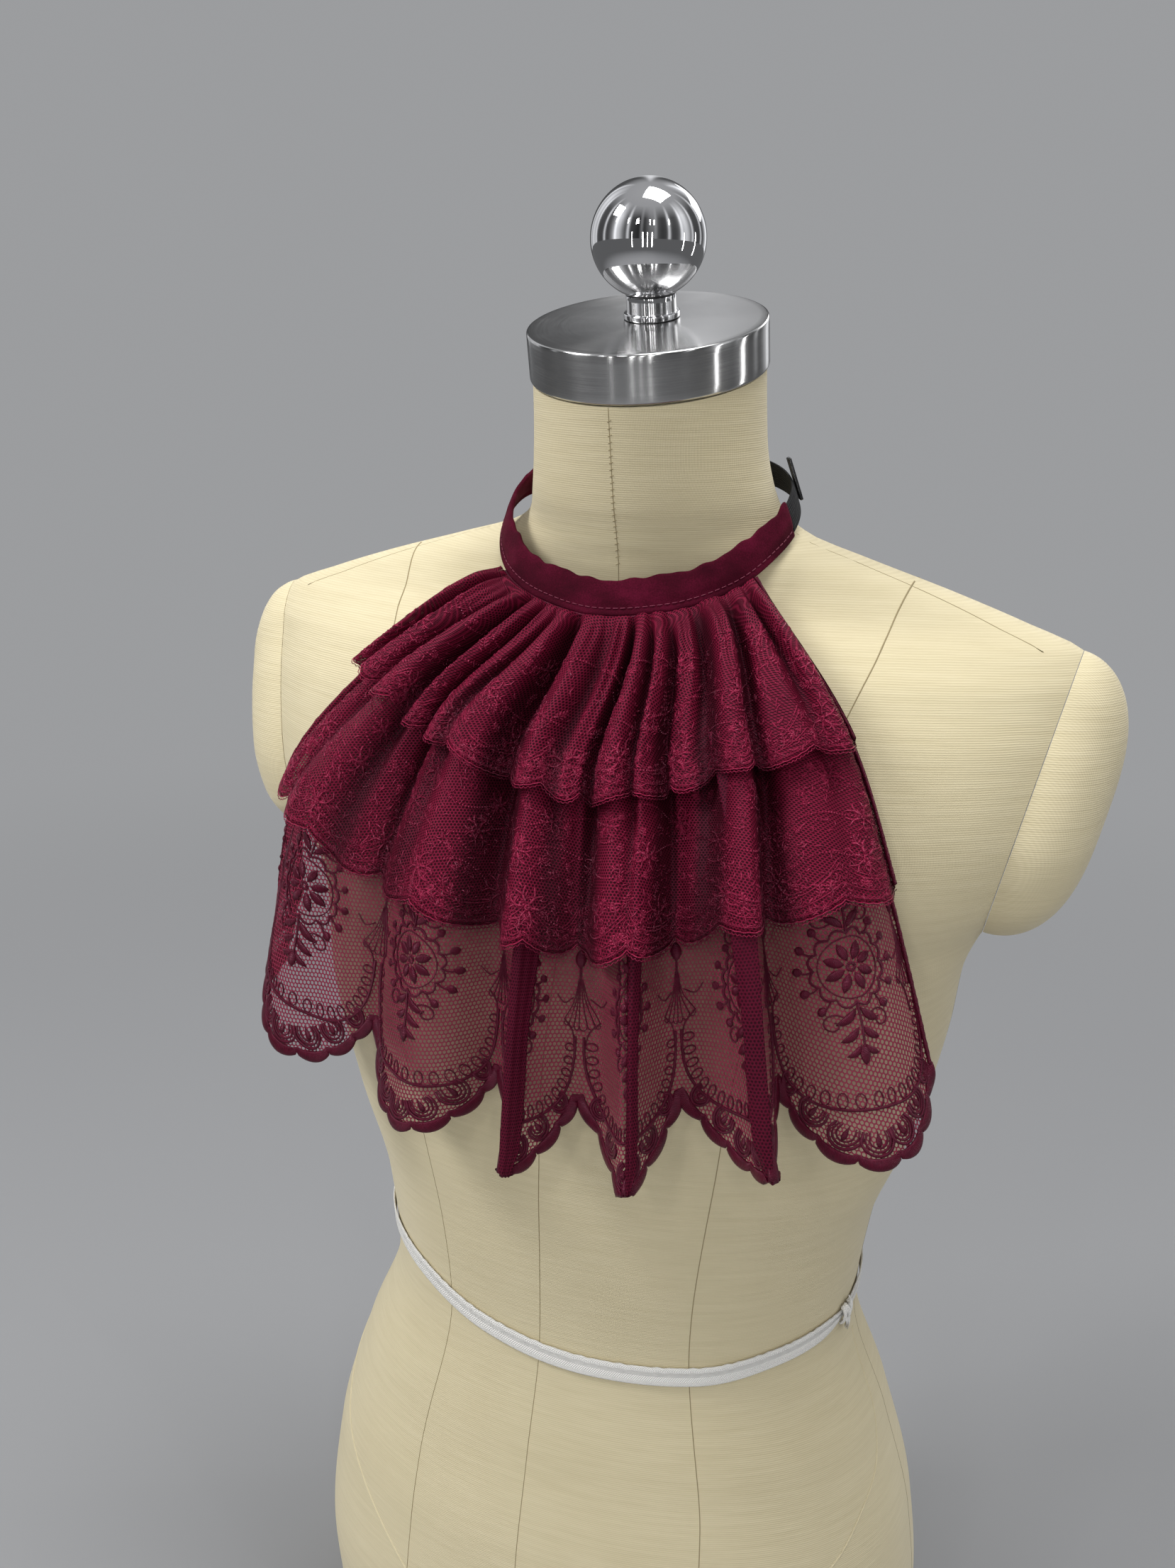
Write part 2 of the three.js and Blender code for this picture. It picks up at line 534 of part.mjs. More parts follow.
// Folds: between a ridge and a valley the lace swings over in half a wave, bunched towards
// whichever of the two is sharp.
function foldAt(flat, tierLevel) {
  const out = `out${tierLevel}`;
  const round = tierLevel === 3 ? 'roundNet' : 'round';
  let i = 0;
  while (i < FOLDS.length - 2 && flat > FOLDS[i + 1].flat) i += 1;
  const from = FOLDS[i];
  const to = FOLDS[i + 1];
  const t = (flat - from.flat) / (to.flat - from.flat);
  const bunch = from[out] > to[out] ? from[round] : -to[round];
  return {
    fan: THREE.MathUtils.lerp(from.fan, to.fan, t + (bunch * Math.sin(Math.PI * t)) / Math.PI),
    out: THREE.MathUtils.lerp(from[out], to[out], (1 - Math.cos(Math.PI * t)) / 2),
  };
}

const gatherRise = curveOf(GATHER_RISE, 'drop', 'out');
const FOLD_START = 0.12;         // share of a fold's depth that shows right under the band
const OPENING = 70;              // drop by which the even gathers have opened into the folds
const TIER_BACK = 2.1;           // the middle tier hangs under the middle of the band's wall
const LIFT_POWER = 0.7;          // the tiers part quickly below the seam
const HEM_POWER = 0.8;
const TIP_WIDTH = 6;

function clothPoint(tier, flat, drop) {
  const fold = foldAt(flat, tier.level);
  const even = flat / FLAT_LENGTH;
  const opened = THREE.MathUtils.smoothstep(drop, 0, OPENING);
  const fan = THREE.MathUtils.lerp(even, fold.fan, opened);
  const down = drop / tier.drop;
  const grown = FOLD_START + (1 - FOLD_START) * Math.sin((Math.PI / 2) * Math.min(1, down));
  const gather = gatherRise(drop) * Math.cos(2 * Math.PI * GATHERS * even + Math.PI);
  const lift = THREE.MathUtils.lerp(tier.lift[0], tier.lift[1], Math.min(1, down) ** LIFT_POWER);
  const out = fold.out * grown + gather + lift - TIER_BACK;
  return fanPoint(fan, drop).addScaledVector(fanNormal(fan, drop), out);
}

function hemDrop(tier, flat) {
  const wave = Math.abs(Math.sin((Math.PI * tier.scallops * flat) / FLAT_LENGTH));
  const tips = FOLDS.map((fold) => fold.tip * Math.exp(-(((flat - fold.flat) / TIP_WIDTH) ** 2)));
  const tip = tier.level === 3 ? tips.reduce((sum, value) => sum + value, 0) : 0;
  return tier.drop - tier.scallop * (1 - wave ** HEM_POWER) + tip;
}

for (const tier of TIERS) {
  const grid = Array.from({ length: tier.rows + 1 }, (_, r) => (
    Array.from({ length: COLUMNS + 1 }, (_, c) => {
      const flat = (FLAT_LENGTH * c) / COLUMNS;
      const top = SEAM_GAP + WALL / 2;
      const drop = THREE.MathUtils.lerp(top, hemDrop(tier, flat), r / tier.rows);
      return clothPoint(tier, flat, drop);
    })));
  addPiece(tier.name, wall(grid, WALL), tier.level === 3 ? NET : FABRIC);
}

export default group;
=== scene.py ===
# %% [markdown]
# # A lace bib collar on a dress form
# A three-tier bib of gathered lace hangs from a velvet neckband, on a linen dress form with a
# steel neck cap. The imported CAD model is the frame: it fixes every size and place, and each
# piece here is a finer one that stands where its plain solid stood. Tables are in millimetres,
# as a tailor measures, and become metres when a mesh is made.

# %% Load the frame
import math

import bmesh
import bpy
import numpy as np
from mathutils import Matrix, Vector
from mathutils.kdtree import KDTree


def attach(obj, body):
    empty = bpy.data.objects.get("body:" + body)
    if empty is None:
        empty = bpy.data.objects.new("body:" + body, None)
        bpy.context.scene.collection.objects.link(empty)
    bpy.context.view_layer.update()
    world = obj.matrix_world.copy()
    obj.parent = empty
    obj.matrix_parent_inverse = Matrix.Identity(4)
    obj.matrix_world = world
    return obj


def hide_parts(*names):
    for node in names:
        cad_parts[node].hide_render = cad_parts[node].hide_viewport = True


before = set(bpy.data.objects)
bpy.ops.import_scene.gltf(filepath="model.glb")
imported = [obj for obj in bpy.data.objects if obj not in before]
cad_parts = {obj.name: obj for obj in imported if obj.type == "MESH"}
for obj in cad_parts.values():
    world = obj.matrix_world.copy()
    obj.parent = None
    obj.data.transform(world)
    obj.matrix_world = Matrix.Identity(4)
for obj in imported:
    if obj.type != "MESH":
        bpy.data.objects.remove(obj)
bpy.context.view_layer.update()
MM = 0.001
SEAM_GAP = 0.3

# %% [markdown]
# ## The camera
# The camera stands a little to the form's left and looks down on it with a 35 mm lens. Its
# turn is built from three angles, so that each can be read and changed by itself.

# %% Camera
CAMERA_AT = (0.2277, -0.6710, 0.7274)
YAW, PITCH, ROLL = (math.radians(a) for a in (20.8, 17.2, 1.2))
LENS, SENSOR = 35.0, 36.0

back = Vector((math.sin(YAW) * math.cos(PITCH), -math.cos(YAW) * math.cos(PITCH), math.sin(PITCH)))
right = (-back).cross(Vector((0, 0, 1))).normalized()
up = right.cross(-back)
right, up = (
    right * math.cos(ROLL) + up * math.sin(ROLL),
    up * math.cos(ROLL) - right * math.sin(ROLL),
)
bpy.ops.object.camera_add(location=CAMERA_AT)
camera = bpy.context.object
camera.name = "camera"
camera.rotation_euler = Matrix((right, up, back)).transposed().to_euler()
camera.data.lens, camera.data.sensor_width = LENS, SENSOR
bpy.context.scene.camera = camera

# %% [markdown]
# ## Curves through a short table
# The form and the folds of the lace are given by a few measured rows. A Hermite curve joins
# them without overshooting, so a neck stays as narrow as it was measured. numpy works out
# thousands of points in one call.

# %% Curves and small helpers
def smooth_through(places, values, at):
    """The curve through values at places; values may hold a column for each entry of at."""
    x = np.asarray(places, float)
    at = np.clip(np.asarray(at, float), x[0], x[-1])
    y = np.asarray(values, float)
    if y.ndim == 1:
        y = y.reshape(-1, *([1] * at.ndim)) * np.ones(at.shape)
    slope = np.diff(y, axis=0) / np.diff(x).reshape(-1, *([1] * at.ndim))
    product, total = slope[:-1] * slope[1:], slope[:-1] + slope[1:]
    inner = np.where(product > 0, 2 * product / np.where(product > 0, total, 1), 0)
    tangent = np.concatenate([slope[:1], inner, slope[-1:]])
    i = np.clip(np.searchsorted(x, at, side="right") - 1, 0, len(x) - 2)
    take = lambda table, k: np.take_along_axis(table, k[None], 0)[0]
    wide = x[i + 1] - x[i]
    t = (at - x[i]) / wide
    a = (1 + 2 * t) * (1 - t) ** 2
    b = t * (1 - t) ** 2
    return (a * take(y, i) + b * wide * take(tangent, i)
            + (1 - a) * take(y, i + 1) + t * t * (t - 1) * wide * take(tangent, i + 1))


def mix(a, b, share):
    return a + (b - a) * share


def ease(value, low, high):
    t = np.clip((value - low) / (high - low), 0, 1)
    return t * t * (3 - 2 * t)


def unit(v):
    return v / np.maximum(np.linalg.norm(v, axis=-1, keepdims=True), 1e-9)


# %% [markdown]
# ## One way to model every shell
# Most pieces are a grid of faces wrapped round something: the form, the band, a tier of lace.
# So each starts as Blender's grid primitive, its points are moved to their places row by row,
# and where the grid meets itself the doubled points are merged. Real millimetres go into the
# UV map, so that a weave keeps its true scale wherever the shell bends.

# %% Grid pieces
def deselect_all():
    if bpy.context.object and bpy.context.object.mode != "OBJECT":
        bpy.ops.object.mode_set(mode="OBJECT")
    bpy.ops.object.select_all(action="DESELECT")


def make_active(obj):
    deselect_all()
    obj.select_set(True)
    bpy.context.view_layer.objects.active = obj


def set_uv(mesh, uv_of_vertex):
    """Gives every corner of the mesh the UV of its vertex, in metres of cloth."""
    layer = mesh.uv_layers.active or mesh.uv_layers.new(name="cloth")
    corner = np.empty(len(mesh.loops), int)
    mesh.loops.foreach_get("vertex_index", corner)
    layer.data.foreach_set("uv", np.asarray(uv_of_vertex, np.float32)[corner].ravel())


def set_hollow_shade(mesh, hollow_shade_of_vertex):
    """Tells the materials how deep between two rolls of cloth each vertex lies, from 0 to 1, so that they
    paint shade there.
    """
    layer = mesh.attributes.new("hollow_shade", "FLOAT", "POINT")
    layer.data.foreach_set("value", np.asarray(hollow_shade_of_vertex, np.float32))


def take_hollow_shade(obj, sheet):
    """Gives each point of a thread the painted shade of the nearest point of its sheet."""
    near = KDTree(len(sheet.data.vertices))
    for i, vertex in enumerate(sheet.data.vertices):
        near.insert(vertex.co, i)
    near.balance()
    hollow_shade = sheet.data.attributes["hollow_shade"].data
    set_hollow_shade(obj.data, [hollow_shade[near.find(vertex.co)[1]].value for vertex in obj.data.vertices])


def grid_piece(name, points, uv=None, flip=False, hollow_shade=None):
    """A grid primitive whose points[row][column] are given in millimetres."""
    rows, columns = points.shape[:2]
    deselect_all()
    bpy.ops.mesh.primitive_grid_add(x_subdivisions=columns - 1, y_subdivisions=rows - 1, size=1)
    obj = bpy.context.object
    obj.name = obj.data.name = name
    start = np.array([v.co for v in obj.data.vertices])
    row = np.rint((start[:, 1] + 0.5) * (rows - 1)).astype(int)
    column = np.rint((start[:, 0] + 0.5) * (columns - 1)).astype(int)
    obj.data.vertices.foreach_set("co", (points[row, column] * MM).astype(np.float32).ravel())
    if uv is not None:
        set_uv(obj.data, uv[row, column] * MM)
    if hollow_shade is not None:
        set_hollow_shade(obj.data, hollow_shade[row, column])
    if flip:
        bpy.ops.object.mode_set(mode="EDIT")
        bpy.ops.mesh.select_all(action="SELECT")
        bpy.ops.mesh.flip_normals()
        bpy.ops.object.mode_set(mode="OBJECT")
    bpy.ops.object.shade_smooth()
    obj.data.update()
    return obj


def close_up(obj, join=1e-6, fill=True):
    """Merges doubled points, closes what is still open and turns the faces outwards."""
    make_active(obj)
    bpy.ops.object.mode_set(mode="EDIT")
    bpy.ops.mesh.select_all(action="SELECT")
    bpy.ops.mesh.remove_doubles(threshold=join)
    if fill:
        bpy.ops.mesh.select_all(action="DESELECT")
        bpy.ops.mesh.select_mode(type="EDGE")
        bpy.ops.mesh.select_non_manifold(extend=False, use_wire=False, use_multi_face=False,
                                         use_non_contiguous=False, use_verts=False)
        bpy.ops.mesh.fill_holes(sides=0)
    bpy.ops.mesh.select_all(action="SELECT")
    bpy.ops.mesh.normals_make_consistent(inside=False)
    bpy.ops.object.mode_set(mode="OBJECT")
    return obj


def apply_modifier(obj, kind, **settings):
    make_active(obj)
    modifier = obj.modifiers.new(kind.lower(), kind)
    for key, value in settings.items():
        setattr(modifier, key, value)
    bpy.ops.object.modifier_apply(modifier=modifier.name)


def soften(obj, angle):
    """Smooth shading that keeps edges sharper than an angle, in degrees."""
    make_active(obj)
    bpy.ops.object.shade_smooth_by_angle(angle=math.radians(angle))


def finished(obj, material, slot, *nodes):
    """Dresses a piece, puts it on the part's one body and takes the plain solids away."""
    obj.data.materials.clear()
    obj.data.materials.append(material)
    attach(obj, "root")
    if nodes:
        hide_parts(*nodes)
    print(f"{obj.name}: {sum(len(p.vertices) - 2 for p in obj.data.polygons)} triangles")
    return obj


# %% [markdown]
# ## Materials
# Each finish is a small node tree. Weaves are sums of sine waves on the UV map in metres, so a
# yarn's spacing is a real size. The net is a sheet whose holes are cut by alpha: a hexagon
# pattern is cheaper than a hundred thousand tiny struts and looks the same from a step away.

# %% Node helpers
def new_material(name, color, roughness, **sockets):
    material = bpy.data.materials.new(name)
    material.use_nodes = True
    shader = material.node_tree.nodes["Principled BSDF"]
    shader.inputs["Base Color"].default_value = (*color, 1)
    shader.inputs["Roughness"].default_value = roughness
    for key, value in sockets.items():
        shader.inputs[key.replace("_", " ")].default_value = value
    return material, material.node_tree, shader


def node(tree, kind, inputs=(), **settings):
    """Adds a node; inputs are values or other nodes' sockets, in the node's own order."""
    made = tree.nodes.new("ShaderNode" + kind)
    for key, value in settings.items():
        setattr(made, key, value)
    for place, value in dict(inputs if isinstance(inputs, dict) else enumerate(inputs)).items():
        if isinstance(value, bpy.types.NodeSocket):
            tree.links.new(value, made.inputs[place])
        elif value is not None:
            made.inputs[place].default_value = value
    return made


def calc(tree, operation, a, b=0.0, c=0.0):
    return node(tree, "Math", [a, b, c], operation=operation).outputs[0]


def cloth_uv(tree):
    """The two directions of the piece's own UV map, in metres."""
    split = node(tree, "SeparateXYZ", [node(tree, "UVMap").outputs[0]])
    return split.outputs[0], split.outputs[1]


def yarns(tree, place, pitch, phase=0.0):
    """A sine wave along one direction: 1 on a yarn's crown, 0 between two."""
    turns = calc(tree, "MULTIPLY_ADD", place, 2 * math.pi / pitch, phase)
    return calc(tree, "MULTIPLY_ADD", calc(tree, "SINE", turns), 0.5, 0.5)


def speckle(tree, scale, stretch=(1, 1, 1), detail=3.0):
    """Noise on Object coordinates; stretch scales its place, so a large entry gives fine grain."""
    where = node(tree, "TexCoord").outputs["Object"]
    moved = node(tree, "Mapping", {0: where, 3: stretch}).outputs[0]
    return node(tree, "TexNoise", {"Vector": moved, "Scale": scale, "Detail": detail}).outputs[0]


def tint(tree, shader, factor, *stops):
    """Base colour from a ramp; stops are (place, colour)."""
    ramp = node(tree, "ValToRGB", [factor])
    points = ramp.color_ramp.elements
    while len(points) < len(stops):
        points.new(0.5)
    for point, (place, color) in zip(points, stops):
        point.position, point.color = place, (*color, 1)
    tree.links.new(ramp.outputs[0], shader.inputs["Base Color"])
    return ramp.outputs[0]


# How dark the painted shade in the deepest hollows is, as a share of the colour.
HOLLOW_SHADE_TONE = 0.30


def paint_hollow_shade(tree, shader, color):
    """Painted shade: between the rolls the colour is darkened, for the shade that falls there and for the
    cloth that lies double.
    """
    hollow_shade = node(tree, "Attribute", attribute_name="hollow_shade").outputs["Fac"]
    tone = node(tree, "MapRange", [hollow_shade, 0.0, 1.0, 1.0, HOLLOW_SHADE_TONE]).outputs[0]
    shaded = node(tree, "VectorMath", {"Vector": color, "Scale": tone}, operation="SCALE")
    tree.links.new(shaded.outputs[0], shader.inputs["Base Color"])


def raise_bump(tree, shader, height, depth, strength=1.0):
    """Bump whose depth is given in millimetres."""
    bump = node(tree, "Bump", {"Strength": strength, "Distance": depth * MM, "Height": height})
    tree.links.new(bump.outputs[0], shader.inputs["Normal"])


# %% [markdown]
# ### Linen, tape, velvet and elastic
# The form is covered in a firm linen: plain weave, with the cross yarns thicker than the warp,
# so fine level ribs show. The tape is a herringbone twill, whose diagonal turns at each rib.
# Velvet has no weave to see, only a pile that darkens and lightens where it was brushed.

# %% Cloth materials
def linen_material():
    mat, tree, shader = new_material("form_linen", (0.6, 0.52, 0.33), 0.88,
                                     Sheen_Weight=0.15, Sheen_Roughness=0.5)
    u, v = cloth_uv(tree)
    sway = speckle(tree, 55)
    rib = yarns(tree, calc(tree, "MULTIPLY_ADD", sway, 0.0006, v), 0.00095)
    warp = yarns(tree, u, 0.0007)
    slub = speckle(tree, 260, (0.12, 0.12, 2.2), 4)
    cloud = speckle(tree, 14, detail=4)
    weave = calc(tree, "MULTIPLY_ADD", rib, 0.38, calc(tree, "MULTIPLY", warp, 0.22))
    weave = calc(tree, "MULTIPLY_ADD", slub, 0.95, weave)
    tone = calc(tree, "MULTIPLY_ADD", cloud, 0.35, calc(tree, "MULTIPLY", weave, 0.55))
    tint(tree, shader, tone, (0.2, (0.53, 0.455, 0.275)), (0.55, (0.62, 0.54, 0.345)),
         (0.85, (0.68, 0.60, 0.40)))
    raise_bump(tree, shader, weave, 0.22, 0.7)
    return mat


def tape_material():
    mat, tree, shader = new_material("waist_twill", (0.82, 0.81, 0.79), 0.8)
    u, v = cloth_uv(tree)
    # The twill's diagonal turns back at each rib: v is folded to and fro every 2.5 mm.
    fold = calc(tree, "PINGPONG", v, 0.0025)
    twill = yarns(tree, calc(tree, "ADD", u, fold), 0.0011)
    rib = yarns(tree, v, 0.005, math.pi / 2)
    height = calc(tree, "MULTIPLY_ADD", twill, 0.8, calc(tree, "MULTIPLY", rib, 0.3))
    tint(tree, shader, height, (0.1, (0.76, 0.745, 0.71)), (0.75, (0.95, 0.935, 0.89)))
    raise_bump(tree, shader, height, 0.3)
    return mat


def velvet_material():
    mat, tree, shader = new_material("band_velvet", (0.05, 0.002, 0.012), 0.9,
                                     Sheen_Weight=0.10, Sheen_Roughness=0.3,
                                     Sheen_Tint=(0.6, 0.08, 0.16, 1), Specular_IOR_Level=0.1)
    brushed = speckle(tree, 45, (1, 1, 1.8), 5)
    pile = speckle(tree, 1500, detail=2)
    tone = calc(tree, "MULTIPLY_ADD", pile, 0.35, calc(tree, "MULTIPLY", brushed, 0.75))
    tint(tree, shader, tone, (0.32, (0.022, 0.0005, 0.0045)), (0.55, (0.053, 0.0015, 0.010)),
         (0.75, (0.105, 0.004, 0.022)))
    raise_bump(tree, shader, tone, 0.5, 0.7)
    return mat


def elastic_material():
    mat, tree, shader = new_material("strap_elastic", (0.008, 0.008, 0.009), 0.7, Specular_IOR_Level=0.2)
    u, v = cloth_uv(tree)
    ribs = calc(tree, "MULTIPLY_ADD", yarns(tree, v, 0.0012), 0.7,
                calc(tree, "MULTIPLY", yarns(tree, u, 0.0008), 0.3))
    tint(tree, shader, ribs, (0.1, (0.003, 0.003, 0.0035)), (0.9, (0.015, 0.015, 0.017)))
    raise_bump(tree, shader, ribs, 0.3)
    return mat


LINEN, TAPE_CLOTH, VELVET, ELASTIC = (
    linen_material(), tape_material(), velvet_material(), elastic_material())
# Painted shade: the seam cords are dark for the shade in a sunken seam; the same colour serves the real
# oversewing thread on the neck.
SEAM_SHADE_AND_THREAD, _, _ = new_material("form_seam_shade_and_thread", (0.29, 0.235, 0.13), 0.95)
BAND_THREAD, _, _ = new_material("band_thread", (0.15, 0.008, 0.035), 0.6)


# %% [markdown]
# ### Steel and chrome
# A turned steel cap carries fine rings from the lathe. They smear each lamp into a streak
# across the rings, which an anisotropic gloss gives. The ball is plain polished chrome.

# %% Metal materials
def brushed_steel_material():
    mat, tree, shader = new_material("turned_steel", (0.48, 0.48, 0.48), 0.3, Metallic=1.0,
                                     Anisotropic=0.9, Anisotropic_Rotation=0.25)
    around = node(tree, "Tangent", direction_type="RADIAL", axis="Z")
    tree.links.new(around.outputs[0], shader.inputs["Tangent"])
    u, v = cloth_uv(tree)
    lines = node(tree, "CombineXYZ", [calc(tree, "MULTIPLY", u, 0.01), v, 0.0]).outputs[0]
    rings = node(tree, "TexNoise", {"Vector": lines, "Scale": 3500.0, "Detail": 2.0}).outputs[0]
    wear = speckle(tree, 60, detail=4)
    tone = calc(tree, "MULTIPLY_ADD", rings, 0.6, calc(tree, "MULTIPLY", wear, 0.4))
    tint(tree, shader, tone, (0.3, (0.44, 0.438, 0.435)), (0.7, (0.56, 0.558, 0.555)))
    rough = node(tree, "MapRange", [tone, 0.3, 0.7, 0.15, 0.24]).outputs[0]
    tree.links.new(rough, shader.inputs["Roughness"])
    raise_bump(tree, shader, rings, 0.002, 0.2)
    return mat


def chrome_material():
    mat, tree, shader = new_material("polished_chrome", (0.70, 0.70, 0.71), 0.03, Metallic=1.0)
    smear = speckle(tree, 90, detail=5)
    rough = node(tree, "MapRange", [smear, 0.4, 0.75, 0.02, 0.09]).outputs[0]
    tree.links.new(rough, shader.inputs["Roughness"])
    return mat


STEEL, CHROME = brushed_steel_material(), chrome_material()
SLIDE_PLASTIC, slide_tree, slide_shader = new_material("slide_plastic", (0.010, 0.010, 0.011), 0.3)
raise_bump(slide_tree, slide_shader, speckle(slide_tree, 900, detail=3), 0.03, 0.5)


# %% [markdown]
# ### Net and embroidery thread
# The hexagons come from two rectangular lattices, one shifted by half a cell each way: the
# nearer lattice point is the hexagon's middle, and the distance to the hexagon's side tells
# thread from hole. The holes of the upper tiers are half closed, because that lace is a finer
# net. The thread's shine is painted into its colour as painted sheen and glints, and breaks
# up along the stitches.

# %% Net and thread materials
RED_GLOSS = (1.0, 0.42, 0.58, 1)


def hexagon_threads(tree, cell, thread):
    """1 on the threads of a hexagonal net and 0 in its holes."""
    u, v = cloth_uv(tree)
    far = 400.0                                   # whole cells that keep the lattice above zero
    place = node(tree, "CombineXYZ", [calc(tree, "MULTIPLY_ADD", u, 1 / cell, far),
                                      calc(tree, "MULTIPLY_ADD", v, 1 / cell, far), 0.0]).outputs[0]
    size = (1.0, math.sqrt(3), 1.0)
    half = tuple(s / 2 for s in size)

    def lattice(point):
        wrapped = node(tree, "VectorMath", [point, size], operation="MODULO").outputs[0]
        return node(tree, "VectorMath", [wrapped, half], operation="SUBTRACT").outputs[0]

    near = lattice(place)
    other = lattice(node(tree, "VectorMath", [place, half], operation="SUBTRACT").outputs[0])
    reach = [node(tree, "SeparateXYZ", [node(tree, "VectorMath", [p], operation="ABSOLUTE").outputs[0]])
             for p in (near, other)]
    edge = []
    for axis in reach:
        x, y = axis.outputs[0], axis.outputs[1]
        slanted = calc(tree, "MULTIPLY_ADD", x, 0.5, calc(tree, "MULTIPLY", y, math.sqrt(3) / 2))
        edge.append(calc(tree, "MAXIMUM", slanted, x))
    # The smaller of the two is the distance from the nearer middle, 0.5 on a hexagon's side.
    distance = calc(tree, "MINIMUM", *edge)
    width = thread / cell / 2
    return node(tree, "MapRange", [distance, 0.5 - width * 1.25, 0.5 - width * 0.75, 0.0, 1.0]).outputs[0]


def net_material(name, cell, thread, veil, dark, light):
    """veil is how closed the holes are, from 0 to 1."""
    mat, tree, shader = new_material(name, light, 0.6, Specular_IOR_Level=0.25,
                                     Specular_Tint=RED_GLOSS)
    threads = hexagon_threads(tree, cell, thread)
    cloud = speckle(tree, 30, detail=3)
    tone = calc(tree, "MULTIPLY_ADD", threads, 0.6, calc(tree, "MULTIPLY", cloud, 0.5))
    color = tint(tree, shader, tone, (0.15, dark), (0.85, light))
    # Painted shade: the net's colour darkens between the rolls of the cloth.
    paint_hollow_shade(tree, shader, color)
    alpha = node(tree, "MapRange", [threads, 0.0, 1.0, veil, 1.0]).outputs[0]
    tree.links.new(alpha, shader.inputs["Alpha"])
    raise_bump(tree, shader, threads, 0.25, 0.8)
    return mat


def thread_material(name, dark, light, pitch, roughness):
    """Satin stitch: the threads lie across the cord, so the shine runs in fine bars, as bumps and as
    painted sheen.
    """
    mat, tree, shader = new_material(name, light, roughness, Specular_IOR_Level=0.45,
                                     Specular_Tint=RED_GLOSS)
    u, v = cloth_uv(tree)
    stitch_bars_and_sheen = yarns(tree, calc(tree, "MULTIPLY_ADD", v, 0.25, u), pitch)
    # The light end of the ramp is painted sheen, and the fine speckle paints glints on the thread.
    cloud = speckle(tree, 420, detail=2)
    tone = calc(tree, "MULTIPLY_ADD", stitch_bars_and_sheen, 0.45, calc(tree, "MULTIPLY", cloud, 0.7))
    color = tint(tree, shader, tone, (0.25, dark), (0.8, light))
    # Painted shade: the thread's colour darkens between the rolls of the cloth.
    paint_hollow_shade(tree, shader, color)
    raise_bump(tree, shader, stitch_bars_and_sheen, 0.18, 0.8)
    return mat


NETS = (   # name, cell and thread in metres, veil, dark and light colour
    ("lace_net", 0.00150, 0.00055, 0.58, (0.020, 0.0006, 0.0040), (0.155, 0.0045, 0.025)),
    ("sheer_net", 0.00190, 0.00046, 0.20, (0.12, 0.010, 0.026), (0.25, 0.026, 0.060)),
    # The folded net is the sheer net with closed holes and a darker colour: painted shade in the fold.
    ("folded_net_shaded", 0.00150, 0.00060, 0.88, (0.020, 0.0006, 0.0045), (0.085, 0.003, 0.016)),
)
# The light colour of each thread is its painted sheen and glints.
THREADS = (   # name, dark and light colour, spacing of the bars in metres, roughness
    ("lace_thread", (0.048, 0.0013, 0.009), (0.39, 0.023, 0.076), 0.0005, 0.22),
    ("satin_thread", (0.024, 0.0006, 0.005), (0.090, 0.0025, 0.016), 0.0006, 0.36),
    ("line_thread", (0.030, 0.0010, 0.007), (0.096, 0.0040, 0.019), 0.0005, 0.42),
)
LACE_NET, SHEER_NET, FOLDED_NET_SHADED = (net_material(*row) for row in NETS)
LACE_THREAD, SATIN_THREAD, LINE_THREAD = (thread_material(*row) for row in THREADS)

# %% [markdown]
# ## The dress form
# The torso is a stack of rounded sections, wide at the shoulders and cut off at the armholes.
# It could be sculpted, but a table of sections keeps every girth measurable. The same table
# made the CAD solid, so this finer shell lies on it.

# %% Torso sections
TORSO_COLUMNS = ("z", "half", "wing", "front", "back", "ridge", "power", "tilt")
TORSO_LEVELS = (
    (0, 158, 0, -104, 108, 0, 2.4, 0), (30, 162, 0, -112, 114, 0, 2.3, 0),
    (72, 166, 0, -116, 118, 0, 2.25, 0), (130, 160, 0, -113, 112, 0, 2.2, 0),
    (190, 143, 0, -103, 98, 0, 2.2, 0), (250, 123, 0, -94, 85, 0, 2.2, 0),
    (300, 128, 0, -98, 86, 0, 2.2, 0), (350, 144, 0, -104, 92, 0, 2.2, 0),
    (410, 157, 0, -112, 98, 0, 2.2, 0), (438, 160, 0, -110, 100, 4, 2.2, 0),
    (460, 168, 0, -106, 102, 8, 2.1, 0), (485, 189, 0, -99, 103, 12, 2.0, 0),
    (515, 202, 0, -88, 101, 14, 2.0, 0), (550, 206, 6, -72, 94, 15, 2.0, 0),
    (575, 206, 30, -59, 87, 15, 2.0, 0), (590, 198, 70, -51, 82, 14, 2.0, 0),
    (601, 171, 95, -45, 79, 14, 2.0, 0), (612, 138, 80, -42, 75, 15, 2.0, 0),
    (623, 100, 44, -43, 71, 17, 2.0, 0), (632, 71, 16, -45, 67, 18, 2.0, 1),
    (641, 60, 6, -47, 64, 12, 2.0, 3), (652, 56, 2, -50, 60, 5, 2.0, 6),
    (668, 53, 0, -53, 56, 0, 2.0, 9), (686, 52, 0, -56, 53, -2, 2.0, 12),
    (703, 51.5, 0, -59, 51, -4, 2.0, 13.9),
)
WING_POWER = 5
torso_table = {c: [row[i] for row in TORSO_LEVELS] for i, c in enumerate(TORSO_COLUMNS)}


def level(column, z):
    return smooth_through(torso_table["z"], torso_table[column], z)


